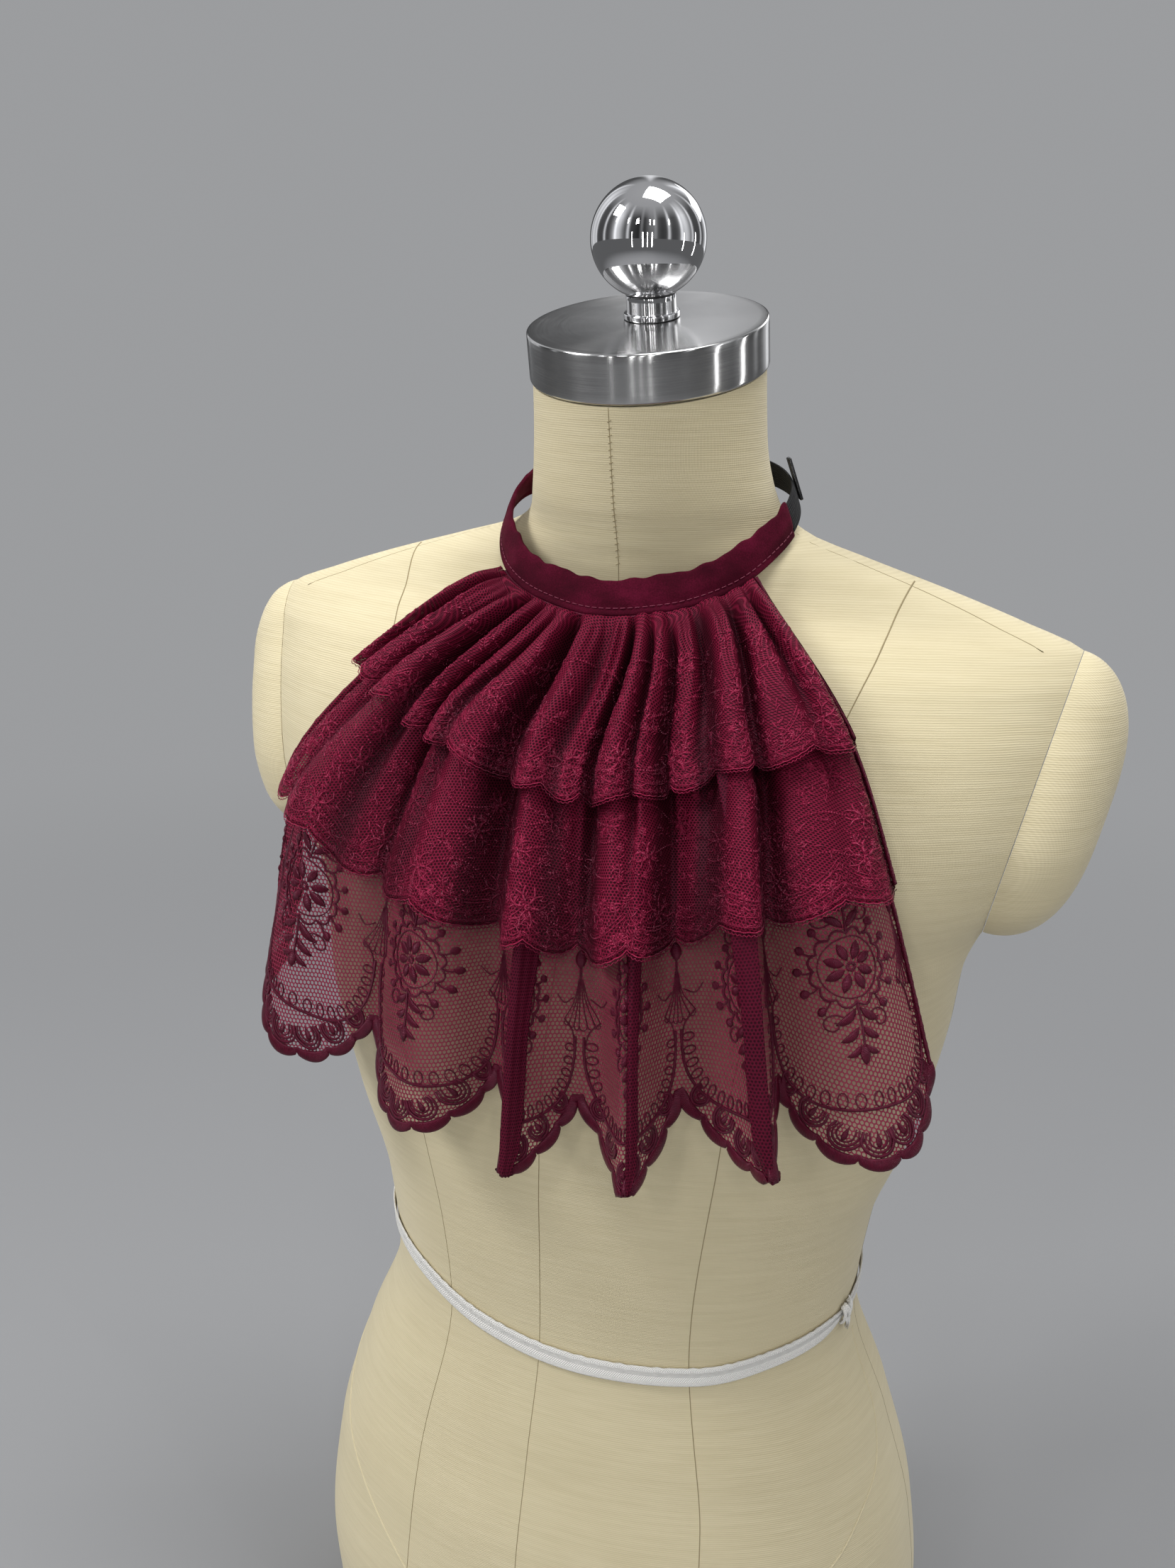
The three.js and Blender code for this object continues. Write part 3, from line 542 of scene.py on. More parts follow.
def torso_point(z, turn, proud=0.0):
    """Points of the torso at heights z and turns round it, moved out by proud."""
    power = 2 / level("power", z)
    across, deep = np.abs(np.cos(turn)) ** power, np.abs(np.sin(turn)) ** power
    wing, ridge = level("wing", z), level("ridge", z)
    x = np.sign(np.cos(turn)) * ((level("half", z) - wing + proud) * across
                                 + wing * across ** WING_POWER)
    end = np.where(np.sin(turn) < 0, level("front", z) - proud, level("back", z) + proud)
    y = ridge + (end - ridge) * deep
    lean = np.tan(np.radians(level("tilt", z)))
    return np.stack([x, y, z + (y - ridge) * lean], -1)


def laid_length(points, axis):
    """Distance from the first point, along a line (axis 0) or the rows or columns of a grid."""
    step = np.linalg.norm(np.diff(points, axis=axis), axis=-1)
    start = np.zeros_like(np.take(step, [0], axis))
    return np.concatenate([start, np.cumsum(step, axis)], axis)


# %% Torso
TORSO_RINGS, TORSO_SIDES = 190, 208
ARMHOLE = {"x": 181, "y": 14, "z": 520, "slant": math.radians(12.5)}
ARMPIT = 435
cap_out = np.array([math.cos(ARMHOLE["slant"]), 0, -math.sin(ARMHOLE["slant"])])
cap_up = np.array([math.sin(ARMHOLE["slant"]), 0, math.cos(ARMHOLE["slant"])])
cap_middle = np.array([ARMHOLE["x"], ARMHOLE["y"], ARMHOLE["z"]], float)

ring_z = smooth_through([0, 0.56, 0.80, 0.93, 1], [0, 410, 575, 652, 703],
                        np.linspace(0, 1, TORSO_RINGS))
ring_turn = np.linspace(0, 2 * math.pi, TORSO_SIDES + 1) - math.pi * 1.5
z_grid, turn_grid = np.meshgrid(ring_z, ring_turn, indexing="ij")
torso_grid = torso_point(z_grid, turn_grid)
torso_uv = np.stack([laid_length(torso_grid, 1), torso_grid[..., 2]], -1)
torso = grid_piece("form_body", torso_grid, torso_uv)
close_up(torso)


def cut_armhole(side):
    """Bisects the torso above the armpit, keeps the inner part and closes the cut."""
    make_active(torso)
    bpy.ops.object.mode_set(mode="EDIT")
    bpy.ops.mesh.select_mode(type="FACE")
    edit = bmesh.from_edit_mesh(torso.data)
    for face in edit.faces:
        face.select = face.calc_center_median().z > ARMPIT * MM
    bmesh.update_edit_mesh(torso.data)
    bpy.ops.mesh.bisect(
        plane_co=tuple(cap_middle * (side, 1, 1) * MM), plane_no=tuple(cap_out * (side, 1, 1)),
        use_fill=True, clear_outer=True)
    bpy.ops.object.mode_set(mode="OBJECT")


cut_armhole(1)
cut_armhole(-1)
soften(torso, 35)
finished(torso, LINEN, "linen", "form_torso")

# %% [markdown]
# ## Shoulder caps
# Each armhole is closed by a padded, linen-covered cap. Its outline is the cut itself, found
# by halving until the reach meets the torso, and its dome is rings of that outline that
# shrink as they rise. The first rings roll over quickly, as padding does at a piped edge.

# %% Shoulder caps
CAP_SIDES, CAP_RINGS, CAP_DEPTH, CAP_ROUNDNESS = 112, 30, 33, 3
HALVINGS = 30        # each halves the span that the sought place lies in


def torso_half_width(y, z):
    ridge, wing, power = level("ridge", z), level("wing", z), level("power", z)
    end = np.where(y < ridge, level("front", z), level("back", z))
    deep = np.clip((y - ridge) / (end - ridge), 0, 1)
    across = (1 - deep ** power) ** (1 / power)
    return (level("half", z) - wing) * across + wing * across ** WING_POWER


def armhole_reach(turn):
    near, far = np.zeros_like(turn), np.full_like(turn, 120.0)
    for _ in range(HALVINGS):
        reach = (near + far) / 2
        x = cap_middle[0] + cap_up[0] * reach * np.sin(turn)
        z = cap_middle[2] + cap_up[2] * reach * np.sin(turn)
        inside = x < torso_half_width(cap_middle[1] + reach * np.cos(turn), z)
        near, far = np.where(inside, reach, near), np.where(inside, far, reach)
    return near


def shoulder_cap(name, side):
    turn = np.linspace(0, 2 * math.pi, CAP_SIDES + 1)
    reach = armhole_reach(turn)
    spokes = cap_up * np.sin(turn)[:, None] + np.array([0, 1, 0]) * np.cos(turn)[:, None]
    lying = spokes * reach[:, None]
    share = np.cos(np.linspace(0, math.pi / 2, CAP_RINGS))
    height = SEAM_GAP + CAP_DEPTH * (1 - share ** CAP_ROUNDNESS) ** 0.5
    foot = cap_middle + cap_out * SEAM_GAP
    rings = [foot + lying * 0]                     # the pole of the flat inner side
    rings += [foot + lying * s for s in (0.5, 0.97)]
    rings += [cap_middle + cap_out * h + lying * s for s, h in zip(share, height)]
    points = np.stack(rings) * (side, 1, 1)
    uv = np.stack([points[..., 1], points[..., 2]], -1)
    cap = grid_piece(name, points, uv)
    close_up(cap)
    soften(cap, 50)
    return cap


for name, side, solid in (("cap_left", 1, "form_cap_left"), ("cap_right", -1, "form_cap_right")):
    finished(shoulder_cap(name, side), LINEN, "linen", solid)

# %% [markdown]
# ## Seams of the form
# The linen cover is sewn from panels, and each seam shows as a thin sunken line. A groove
# would need a very fine mesh, so each seam is a narrow cord coloured dark as painted shade of
# the groove, sunk in the surface until only its crown is seen.

# %% Cords laid on a surface
def swept(centres, normals, wide, high, sides):
    """Rings of a flattened tube: wide across the line, high along the surface normal."""
    centres, normals = np.asarray(centres, float), unit(np.asarray(normals, float))
    tangent = unit(np.gradient(centres, axis=0))
    across = unit(np.cross(tangent, normals))
    turn = np.arange(sides) * 2 * math.pi / sides + math.pi / sides
    wide = np.broadcast_to(np.asarray(wide, float), len(centres))[:, None, None]
    high = np.broadcast_to(np.asarray(high, float), len(centres))[:, None, None]
    return (centres[:, None] + across[:, None] * np.cos(turn)[None, :, None] * wide
            + normals[:, None] * np.sin(turn)[None, :, None] * high)


def cord_piece(name, lines, sides=4):
    """Cords as one object: quads along each cord and a flat face at both of its ends."""
    points, uvs, quads, ends, count = [], [], [], [], 0
    k = np.arange(sides)
    for centres, normals, wide, high in lines:
        rings = swept(centres, normals, wide, high, sides)
        length = laid_length(np.asarray(centres, float), 0)
        girth = k / sides * 2 * math.pi * float(np.mean(wide))
        points.append(rings.reshape(-1, 3))
        uvs.append(np.stack(np.meshgrid(length, girth, indexing="ij"), -1).reshape(-1, 2))
        first = count + np.arange(len(rings) - 1)[:, None] * sides
        a, b = first + k, first + (k + 1) % sides
        quads.append(np.stack([a, a + sides, b + sides, b], -1).reshape(-1, 4))
        last = count + (len(rings) - 1) * sides
        ends += [(count + k).tolist(), (last + k[::-1]).tolist()]
        count += len(rings) * sides
    mesh = bpy.data.meshes.new(name)
    faces = np.concatenate(quads).tolist() + ends
    mesh.from_pydata((np.concatenate(points) * MM).tolist(), [], faces)
    set_uv(mesh, np.concatenate(uvs) * MM)
    obj = bpy.data.objects.new(name, mesh)
    bpy.context.scene.collection.objects.link(obj)
    mesh.polygons.foreach_set("use_smooth", np.ones(len(faces), bool))
    mesh.update()
    return obj


# %% Seam lines
# Rows are (height, turn in degrees); a turn of -90 is the front and 90 the back. The two
# shoulder princess seams are given as (height, x) instead, since x is what a cutter measures.
FRONT_SEAM = ((703, -89), (614, -88.5), (450, -90), (311, -93), (209, -94), (0, -94))
PRINCESS_X = ((616, 122.5), (604, 119), (588, 115.5), (574, 111), (560, 106.5), (500, 94), (374, 75),
              (257, 62), (167, 75), (0, 84))
SHOULDER_SEAM = ((641, -3), (628, -8), (613, -10.5), (601, -12.2), (592, -14))
LEG_LINE = ((238, -2), (203, -4), (177, -10), (160, -22), (146, -31), (128, -45), (104, -60),
            (70, -76), (40, -88), (0, -92))
SIDE_SEAM = ((440, 4), (300, 2), (150, 2), (0, 2))
BACK_SEAM = ((703, 90), (600, 90), (400, 90), (0, 90))
SEAM_CORD = (0.30, 0.42, 0.42)       # how far it is sunk, and its half width and half height
LEG_CORD = (0.25, 1.1, 0.65)
SHOULDER_END = 0.6                   # mm that a seam stops short of the armhole
NECK_STITCH = {"from": 622, "to": 700, "step": 3.4, "turn": math.radians(-88.8), "reach": 0.016}


def turns_at_x(rows, ahead):
    """Turns round the torso that reach a given x at each height, found by halving."""
    rows = np.array(rows, float)
    z = mix(rows[0, 0], rows[-1, 0], np.linspace(0, 1, 160) ** 2)     # close together at the shoulder
    x = smooth_through(rows[::-1, 0], rows[::-1, 1], z)
    near, far = np.zeros(len(z)), np.full(len(z), math.pi / 2)
    for _ in range(HALVINGS):
        turn = (near + far) / 2
        outside = torso_point(z, turn)[:, 0] > x
        near, far = np.where(outside, turn, near), np.where(outside, far, turn)
    return np.stack([z, np.degrees(near) * (-1 if ahead else 1)], -1)


def torso_line(rows, side, sunk, wide, high, step=2.5):
    """A line over the torso through a few rows, mirrored for side -1."""
    rows = np.array(rows, float)
    far = np.concatenate([[0], np.cumsum(np.hypot(np.diff(rows[:, 0]), np.diff(rows[:, 1]) * 2))])
    share = np.linspace(0, far[-1], max(8, int(far[-1] / step)))
    z, turn = (smooth_through(far, rows[:, i], share) for i in (0, 1))
    turn = np.radians(turn if side > 0 else -180 - turn)
    foot = torso_point(z, turn)
    out = unit(torso_point(z, turn, 1.0) - foot)
    # Where the line runs over the cut shoulder it stops at the armhole.
    keep = ((foot * (side, 1, 1) - cap_middle) @ cap_out < -SHOULDER_END) | (z < ARMPIT)
    return foot[keep] - out[keep] * sunk, out[keep], wide, high


seam_lines = [torso_line(FRONT_SEAM, 1, *SEAM_CORD), torso_line(BACK_SEAM, 1, *SEAM_CORD)]
for side in (1, -1):
    for rows in (turns_at_x(PRINCESS_X, True), SHOULDER_SEAM, SIDE_SEAM, turns_at_x(PRINCESS_X, False)):
        seam_lines.append(torso_line(rows, side, *SEAM_CORD))
# On the neck the front seam is oversewn, so small stitches cross it.
for z in np.arange(NECK_STITCH["from"], NECK_STITCH["to"], NECK_STITCH["step"]):
    turn = NECK_STITCH["turn"] + np.array([-1.0, -0.3, 0.3, 1.0]) * NECK_STITCH["reach"]
    foot = torso_point(z + np.array([-0.5, -0.1, 0.1, 0.5]), turn, 0.05)
    seam_lines.append((foot, torso_point(z, turn, 1.0) - torso_point(z, turn), 0.16, 0.2))
# The seam cords are coloured dark as painted shade of the sunken seams; the neck stitches are real thread.
finished(cord_piece("form_seams", seam_lines, 6), SEAM_SHADE_AND_THREAD, "linen")

# The leg lines are broader welts of the linen itself.
leg_lines = [torso_line(LEG_LINE, side, *LEG_CORD) for side in (1, -1)]
finished(cord_piece("form_leg_lines", leg_lines, 8), LINEN, "linen")

# %% [markdown]
# ## Neck cap, collar and ball
# These were turned on a lathe, so each is a profile swept round an axis. The profile's corners
# get short arcs, because a real turned edge always catches a thin line of light. All three
# lean forward with the neck.

# %% Turned pieces
NECK_TOP = {"y": -4, "z": 703, "tilt": math.radians(13.9)}
STEEL_CAP = {"rx": 53, "ry": 56.5, "thick": 22, "bevel": 1.2}
BALL = {"radius": 25.2, "back": 6, "height": 55.5}
COLLAR = {"radius": 11, "flange": 12.4, "flange_high": 2.4, "top": 7.7, "under_ball": 0.7}


def lean_with_neck(points):
    x, y, z = points[..., 0], points[..., 1], points[..., 2]
    c, s = math.cos(NECK_TOP["tilt"]), math.sin(NECK_TOP["tilt"])
    return np.stack([x, NECK_TOP["y"] + y * c - z * s, NECK_TOP["z"] + y * s + z * c], -1)


def rounded_profile(corners, radius, steps=5):
    """(radius, height) corners with each inner corner rounded by a short arc."""
    corners = np.array(corners, float)
    path = [corners[0]]
    for before, corner, after in zip(corners, corners[1:], corners[2:]):
        reach = min(radius, np.linalg.norm(before - corner) / 2, np.linalg.norm(after - corner) / 2)
        start = corner + unit(before - corner) * reach
        end = corner + unit(after - corner) * reach
        for t in np.linspace(0, 1, steps):
            path.append(start * (1 - t) ** 2 + corner * 2 * t * (1 - t) + end * t * t)
    return np.array(path + [corners[-1]])


def close_spaced(profile, step):
    """Extra points along a profile, so that rings of a flat face stay evenly wide."""
    path = [profile[0]]
    for a, b in zip(profile, profile[1:]):
        count = max(1, int(np.linalg.norm(b - a) / step))
        path += [mix(a, b, (i + 1) / count) for i in range(count)]
    return np.array(path)


def turned(name, profile, centre_y, sides, stretch=(1, 1)):
    turn = np.linspace(0, 2 * math.pi, sides + 1)
    r, z = profile[:, 0][:, None], profile[:, 1][:, None]
    points = np.stack([r * np.cos(turn) * stretch[0], centre_y + r * np.sin(turn) * stretch[1],
                       z + 0 * turn], -1)
    far = laid_length(profile, 0)
    uv = np.stack([r * turn, far[:, None] + 0 * turn], -1)
    obj = grid_piece(name, lean_with_neck(points), uv)
    return close_up(obj)


cap_rx, cap_thick = STEEL_CAP["rx"], STEEL_CAP["thick"]
cap_bevel = STEEL_CAP["bevel"]
cap_profile = rounded_profile([(0, SEAM_GAP), (cap_rx - cap_bevel, SEAM_GAP), (cap_rx, SEAM_GAP + 1.0),
                               (cap_rx, cap_thick), (0, cap_thick)], cap_bevel)
neck_cap = turned("steel_neck_cap", close_spaced(cap_profile, 3.0), 0, 144,
                  (1, STEEL_CAP["ry"] / cap_rx))
soften(neck_cap, 40)
finished(neck_cap, STEEL, "steel", "neck_cap")

ball_foot = BALL["height"] - math.sqrt(BALL["radius"] ** 2 - COLLAR["radius"] ** 2)
collar_foot = cap_thick + SEAM_GAP
collar_top = ball_foot - SEAM_GAP
flange_top = collar_foot + COLLAR["flange_high"]
under_ball = BALL["height"] - BALL["radius"] - COLLAR["under_ball"]
collar_profile = rounded_profile(
    [(0, collar_foot), (COLLAR["flange"], collar_foot), (COLLAR["flange"], flange_top),
     (COLLAR["radius"], flange_top), (COLLAR["radius"], collar_top - 0.2),
     (COLLAR["top"], under_ball), (0, under_ball)], 0.4, 4)
ball_collar = turned("ball_collar_chrome", close_spaced(collar_profile, 2.0), BALL["back"], 96)
soften(ball_collar, 40)
finished(ball_collar, CHROME, "chrome", "ball_collar")

# The ball is turned too: a sphere whose foot is cut flat, with a fine ring where it is soldered.
arc = np.linspace(-math.pi / 2, math.pi / 2, 73)
ball_profile = np.stack([BALL["radius"] * np.cos(arc), BALL["height"] + BALL["radius"] * np.sin(arc)], -1)
foot_height = BALL["height"] - BALL["radius"] + 0.25
ball_profile[:, 1] = np.maximum(ball_profile[:, 1], foot_height)
ball_profile[[0, -1], 0] = 0
neck_ball = turned("chrome_ball", ball_profile, BALL["back"], 128)
soften(neck_ball, 40)
finished(neck_ball, CHROME, "chrome", "neck_ball")

ring_arc = np.linspace(0, 2 * math.pi, 13)
ring_profile = np.stack([COLLAR["radius"] - 0.25 + 0.55 * np.cos(ring_arc),
                         ball_foot - 0.05 + 0.5 * np.sin(ring_arc)], -1)
ball_ring = turned("ball_ring", ring_profile, BALL["back"], 96)
finished(ball_ring, SLIDE_PLASTIC, "slide")

# %% [markdown]
# ## Waist tape
# A white twill tape is pinned round the form to mark the waist. It dips at the front, lies
# just proud of the linen, and is drawn together in a small knot at the form's left side.

# %% Waist tape
TAPE = {"wide": 10, "thick": 1.0, "columns": 260, "proud": SEAM_GAP + 0.5}
TAPE_ANGLES = (-180, -90, -57, -41, -16, 5, 30, 52, 80, 125, 180)
TAPE_HEIGHTS = (273, 273, 270, 265, 252, 246, 247, 253, 258, 265, 273)
KNOT_ANGLE, KNOT_REACH = 79.0, 7.0


def wrapped_angle(angle):
    return (angle + 180) % 360 - 180


def tape_point(angle, across, out):
    """across is from -0.5 at the lower edge to 0.5 at the upper one."""
    drawn = 1 - 0.5 * np.exp(-(wrapped_angle(angle - KNOT_ANGLE) / KNOT_REACH) ** 2)
    ripple = 0.35 * np.sin(angle * 1.9) * np.sin(angle * 0.37)
    z = smooth_through(TAPE_ANGLES, TAPE_HEIGHTS, wrapped_angle(angle))
    z = z + across * TAPE["wide"] * drawn + ripple * (across > 0)
    return torso_point(z, np.radians(angle - 90), TAPE["proud"] + out)


TAPE_SQUARENESS = 0.45       # a power under 1 turns the round section into a flat one
section_turn = np.linspace(0, 2 * math.pi, 17)
section_sin, section_cos = np.sin(section_turn), np.cos(section_turn)
section_across = 0.5 * np.sign(section_sin) * np.abs(section_sin) ** TAPE_SQUARENESS
section_out = 0.5 + 0.5 * np.sign(section_cos) * np.abs(section_cos) ** TAPE_SQUARENESS
tape_angle = np.linspace(-180, 180, TAPE["columns"] + 1)
angle_grid, across_grid = np.meshgrid(tape_angle, section_across, indexing="ij")
_, out_grid = np.meshgrid(tape_angle, section_out, indexing="ij")
tape_grid = tape_point(angle_grid, across_grid, out_grid * TAPE["thick"])
tape_uv = np.stack([laid_length(tape_grid, 0), (across_grid + 0.5) * TAPE["wide"]], -1)
waist_tape = close_up(grid_piece("waist_tape_twill", tape_grid, tape_uv), fill=False)
finished(waist_tape, TAPE_CLOTH, "tape", "waist_tape")

# The knot: three short turns of tape drawn over each other, and two cut ends.
KNOT_TURNS = ((-3.2, 0.5, 2.3), (0.4, -0.6, 2.7), (3.4, 0.4, 2.1))     # along, lean, rise
KNOT_ENDS = ((1.5, -1, 9.0, 1.9), (-1.0, -1, 6.5, 1.5), (2.0, 1, 5.0, 1.2))   # along, side, long, wide


def tape_middle(angle, out=0.0):
    return tape_point(np.array(angle), np.array(0.0), np.array(out))


knot_foot = tape_middle(KNOT_ANGLE, TAPE["thick"])
knot_out = unit(knot_foot - tape_middle(KNOT_ANGLE))
knot_along = unit(tape_middle(KNOT_ANGLE + 1) - tape_middle(KNOT_ANGLE - 1))
knot_up = unit(np.cross(knot_along, knot_out))
knot_up = knot_up if knot_up[2] > 0 else -knot_up
knot_lines = []
for along, lean, rise in KNOT_TURNS:
    t = np.linspace(-1, 1, 15)[:, None]
    centre = (knot_foot + knot_along * (along + lean * t * 2) + knot_up * t * 4.2
              + knot_out * (rise * np.sqrt(np.maximum(0, 1 - t * t)) - 0.4))
    normal = knot_out * np.sqrt(np.maximum(0.05, 1 - t * t)) + knot_up * t
    knot_lines.append((centre, normal, 1.7, 0.75))
for along, side, long, wide in KNOT_ENDS:
    t = np.linspace(0, 1, 12)[:, None]
    centre = (knot_foot + knot_along * (along + 1.2 * t) + knot_up * side * (2.5 + long * t)
              + knot_out * (1.0 + 0.9 * np.sin(t * math.pi) - 0.5 * t))
    knot_lines.append((centre, knot_out + knot_along * 0.4 * t, wide, 0.4))
finished(cord_piece("waist_tape_knot", knot_lines, 8), TAPE_CLOTH, "tape")

# %% [markdown]
# ## Velvet neckband
# The band is a strip of velvet folded over and stitched near its lower edge. It is modelled
# as a closed section swept round the neck: full and rounded at the fold, thin below the
# stitches, with a lazy wave along its top edge, because velvet on the cross never lies quite
# straight.

# %% Band measures
BAND_Y = 3
BAND_TOP = {"rx": 64, "front": 63, "back": 56.1}
BAND_BOTTOM = {"rx": 69.5, "front": 68, "back": 60.5}
BAND_ANGLES = (-180, -140, -104, -75, -50, -25, 0, 25, 50, 75, 104, 140, 180)
BAND_HEADS = (668, 662, 656, 643, 631, 622, 618, 621, 630, 643, 656, 664, 668)
BAND_FEET = (653, 647, 642, 629, 615, 607, 603, 606, 614, 628, 641, 649, 653)
VELVET_FROM, VELVET_TO = -138, 86
STRAP_FROM, STRAP_TO, STRAP_INSET = 86.4, 221.4, 1.5
BAND_HIGH = BAND_HEADS[0] - BAND_FEET[0]


def band_point(angle, share):
    """A point on the middle of the band: share 0 is its top edge and 1 its bottom edge."""
    angle, share = np.broadcast_arrays(np.asarray(angle, float), np.asarray(share, float))
    turn = np.radians(angle)
    rx = mix(BAND_TOP["rx"], BAND_BOTTOM["rx"], share)
    ry = np.where(np.cos(turn) > 0, mix(BAND_TOP["front"], BAND_BOTTOM["front"], share),
                  mix(BAND_TOP["back"], BAND_BOTTOM["back"], share))
    at = wrapped_angle(angle)
    z = mix(smooth_through(BAND_ANGLES, BAND_HEADS, at), smooth_through(BAND_ANGLES, BAND_FEET, at), share)
    return np.stack([rx * np.sin(turn), BAND_Y - ry * np.cos(turn), z], -1)


def band_normal(angle, share):
    along = band_point(angle + 0.5, share) - band_point(angle - 0.5, share)
    down = band_point(angle, share + 0.1) - band_point(angle, share - 0.1)
    return unit(np.cross(down, along))


def band_section(angles, shares, outs, name):
    """Sweeps a closed section; shares and outs (mm) are grids of angle by section point."""
    spread = np.broadcast_to(angles[:, None], shares.shape)
    points = band_point(spread, shares) + band_normal(spread, shares) * outs[..., None]
    uv = np.stack([laid_length(points, 0), laid_length(points, 1)], -1)
    return close_up(grid_piece(name, points, uv))


# %% Velvet band
BAND_WALL, BAND_STITCH_SHARE = 2.2, 0.80
BAND_COLUMNS, SECTION_POINTS = 240, 41
band_angles = np.linspace(VELVET_FROM, VELVET_TO, BAND_COLUMNS)
section = np.linspace(0, 2 * math.pi, SECTION_POINTS)
share_line = 0.5 - 0.5 * np.sign(np.cos(section)) * np.abs(np.cos(section)) ** 0.5
out_line = np.sign(np.sin(section)) * np.abs(np.sin(section)) ** 0.5
share_grid = np.broadcast_to(share_line, (BAND_COLUMNS, SECTION_POINTS)).copy()
angle_column = band_angles[:, None]
top_wave = (0.03 * np.sin(angle_column * 0.17 + 1) + 0.022 * np.sin(angle_column * 0.43)
            + 0.016 * np.sin(angle_column * 0.71 + 2))
share_grid += top_wave * (1 - share_grid) ** 2
near_stitch = np.exp(-((share_grid - BAND_STITCH_SHARE) / 0.07) ** 2)
pucker = 1 + 0.5 * np.sin(angle_column * 0.83) * np.exp(-((share_grid - 0.62) / 0.16) ** 2)
full = mix(1.15, 0.78, ease(share_grid, 0.55, 0.9)) - 0.42 * near_stitch
out_grid = out_line * BAND_WALL / 2 * full
out_grid += np.where(out_line > 0, 0.22 * (pucker - 1), 0)
out_grid += 0.25 * np.sin(angle_column * 0.31 + 2) * (1 - share_grid)
band = band_section(band_angles, share_grid, out_grid, "velvet_neckband")
finished(band, VELVET, "velvet", "neckband")

# The stitches lie in the groove that they pull into the velvet.
STITCH_LONG, STITCH_STEP = 2.3, 3.2
band_run = math.radians(VELVET_TO - VELVET_FROM) * BAND_BOTTOM["rx"]
stitch_turn = math.degrees(STITCH_STEP / BAND_BOTTOM["rx"])
stitch_lines = []
for foot in np.arange(VELVET_FROM + 1.5, VELVET_TO - 1.5, stitch_turn):
    angle = foot + math.degrees(STITCH_LONG / BAND_BOTTOM["rx"]) * np.linspace(0, 1, 5)
    sag = 0.68 + 0.16 * np.sin(np.linspace(0, math.pi, 5))
    normal = band_normal(angle, np.full(5, BAND_STITCH_SHARE))
    centre = band_point(angle, BAND_STITCH_SHARE) + normal * sag[:, None]
    stitch_lines.append((centre, normal, 0.24, 0.2))
finished(cord_piece("neckband_stitches", stitch_lines, 6), BAND_THREAD, "velvet")
print(f"{len(stitch_lines)} stitches along {band_run:.0f} mm of band")

# %% [markdown]
# ## Elastic strap and its slide
# A black elastic closes the band behind the neck. It is woven, so it gets lengthwise ribs in
# its finish, and a moulded slide rides on it: a small rounded plate, bevelled from a cube,
# with a shallow window pressed into its face.

# %% Elastic strap
STRAP_WALL, STRAP_COLUMNS = 1.6, 120
strap_angles = np.linspace(STRAP_FROM, STRAP_TO, STRAP_COLUMNS)
inset = STRAP_INSET / BAND_HIGH
strap_share = np.broadcast_to(inset + (1 - 2 * inset) * share_line, (STRAP_COLUMNS, SECTION_POINTS))
strap_out = np.broadcast_to(out_line * STRAP_WALL / 2, (STRAP_COLUMNS, SECTION_POINTS))
strap = band_section(strap_angles, strap_share, strap_out, "elastic_strap")
finished(strap, ELASTIC, "elastic", "back_strap")

# %% Strap slide
SLIDE = {"angle": 112, "wide": 7, "high": 20, "thick": 1.6, "rise": 5}
SLIDE_EDGE, SLIDE_RIM, WINDOW_DEEP, WINDOW_LIP = 0.55, 1.3, 0.45, 0.25
slide_turn = math.radians(SLIDE["angle"])
slide_head = band_point(SLIDE["angle"], 0.0)
slide_foot = band_point(SLIDE["angle"], 1.0)
slide_lean = (BAND_BOTTOM["rx"] - BAND_TOP["rx"]) / (slide_head[2] - slide_foot[2])
slide_place = mix(slide_head, slide_foot, 0.5) + np.array([0, 0, SLIDE["rise"]])
slide_place -= np.array([math.sin(slide_turn), -math.cos(slide_turn), 0]) * SLIDE["rise"] * slide_lean
deselect_all()
bpy.ops.mesh.primitive_cube_add(size=1)
slide = bpy.context.object
slide.name = slide.data.name = "slide_plate"
bpy.ops.object.mode_set(mode="EDIT")
bpy.ops.mesh.select_all(action="SELECT")
bpy.ops.transform.resize(value=(SLIDE["wide"] * MM, SLIDE["thick"] * MM, SLIDE["high"] * MM))
bpy.ops.mesh.bevel(offset=SLIDE_EDGE * MM, segments=4, affect="EDGES")
bpy.ops.mesh.select_all(action="DESELECT")
bpy.ops.mesh.select_mode(type="FACE")
edit = bmesh.from_edit_mesh(slide.data)
for face in edit.faces:
    face.select = face.normal.y < -0.99 and face.calc_area() > 20 * MM * MM
bmesh.update_edit_mesh(slide.data)
bpy.ops.mesh.inset(thickness=SLIDE_RIM * MM)
bpy.ops.mesh.extrude_region_move(TRANSFORM_OT_translate={"value": (0, WINDOW_DEEP * MM, 0)})
bpy.ops.mesh.inset(thickness=WINDOW_LIP * MM)
bpy.ops.object.mode_set(mode="OBJECT")
place = (Matrix.Translation(Vector(slide_place) * MM) @ Matrix.Rotation(slide_turn, 4, "Z")
         @ Matrix.Rotation(-math.atan(slide_lean), 4, "X")
         @ Matrix.Translation((0, -((STRAP_WALL + SLIDE["thick"]) / 2 + SEAM_GAP) * MM, 0)))
slide.data.transform(place)
soften(slide, 40)
finished(slide, SLIDE_PLASTIC, "slide", "strap_slide")

# %% [markdown]
# ## The hang of the lace
# All three tiers hang on one fan-shaped surface that opens from the band over the chest. Six
# guide lines give the fan, a table of ridges and valleys gives the folds, and each tier stands
# a little further out than the one below. The same tables made the plain solids, and the finer
# cloth adds small gathers to their folds.

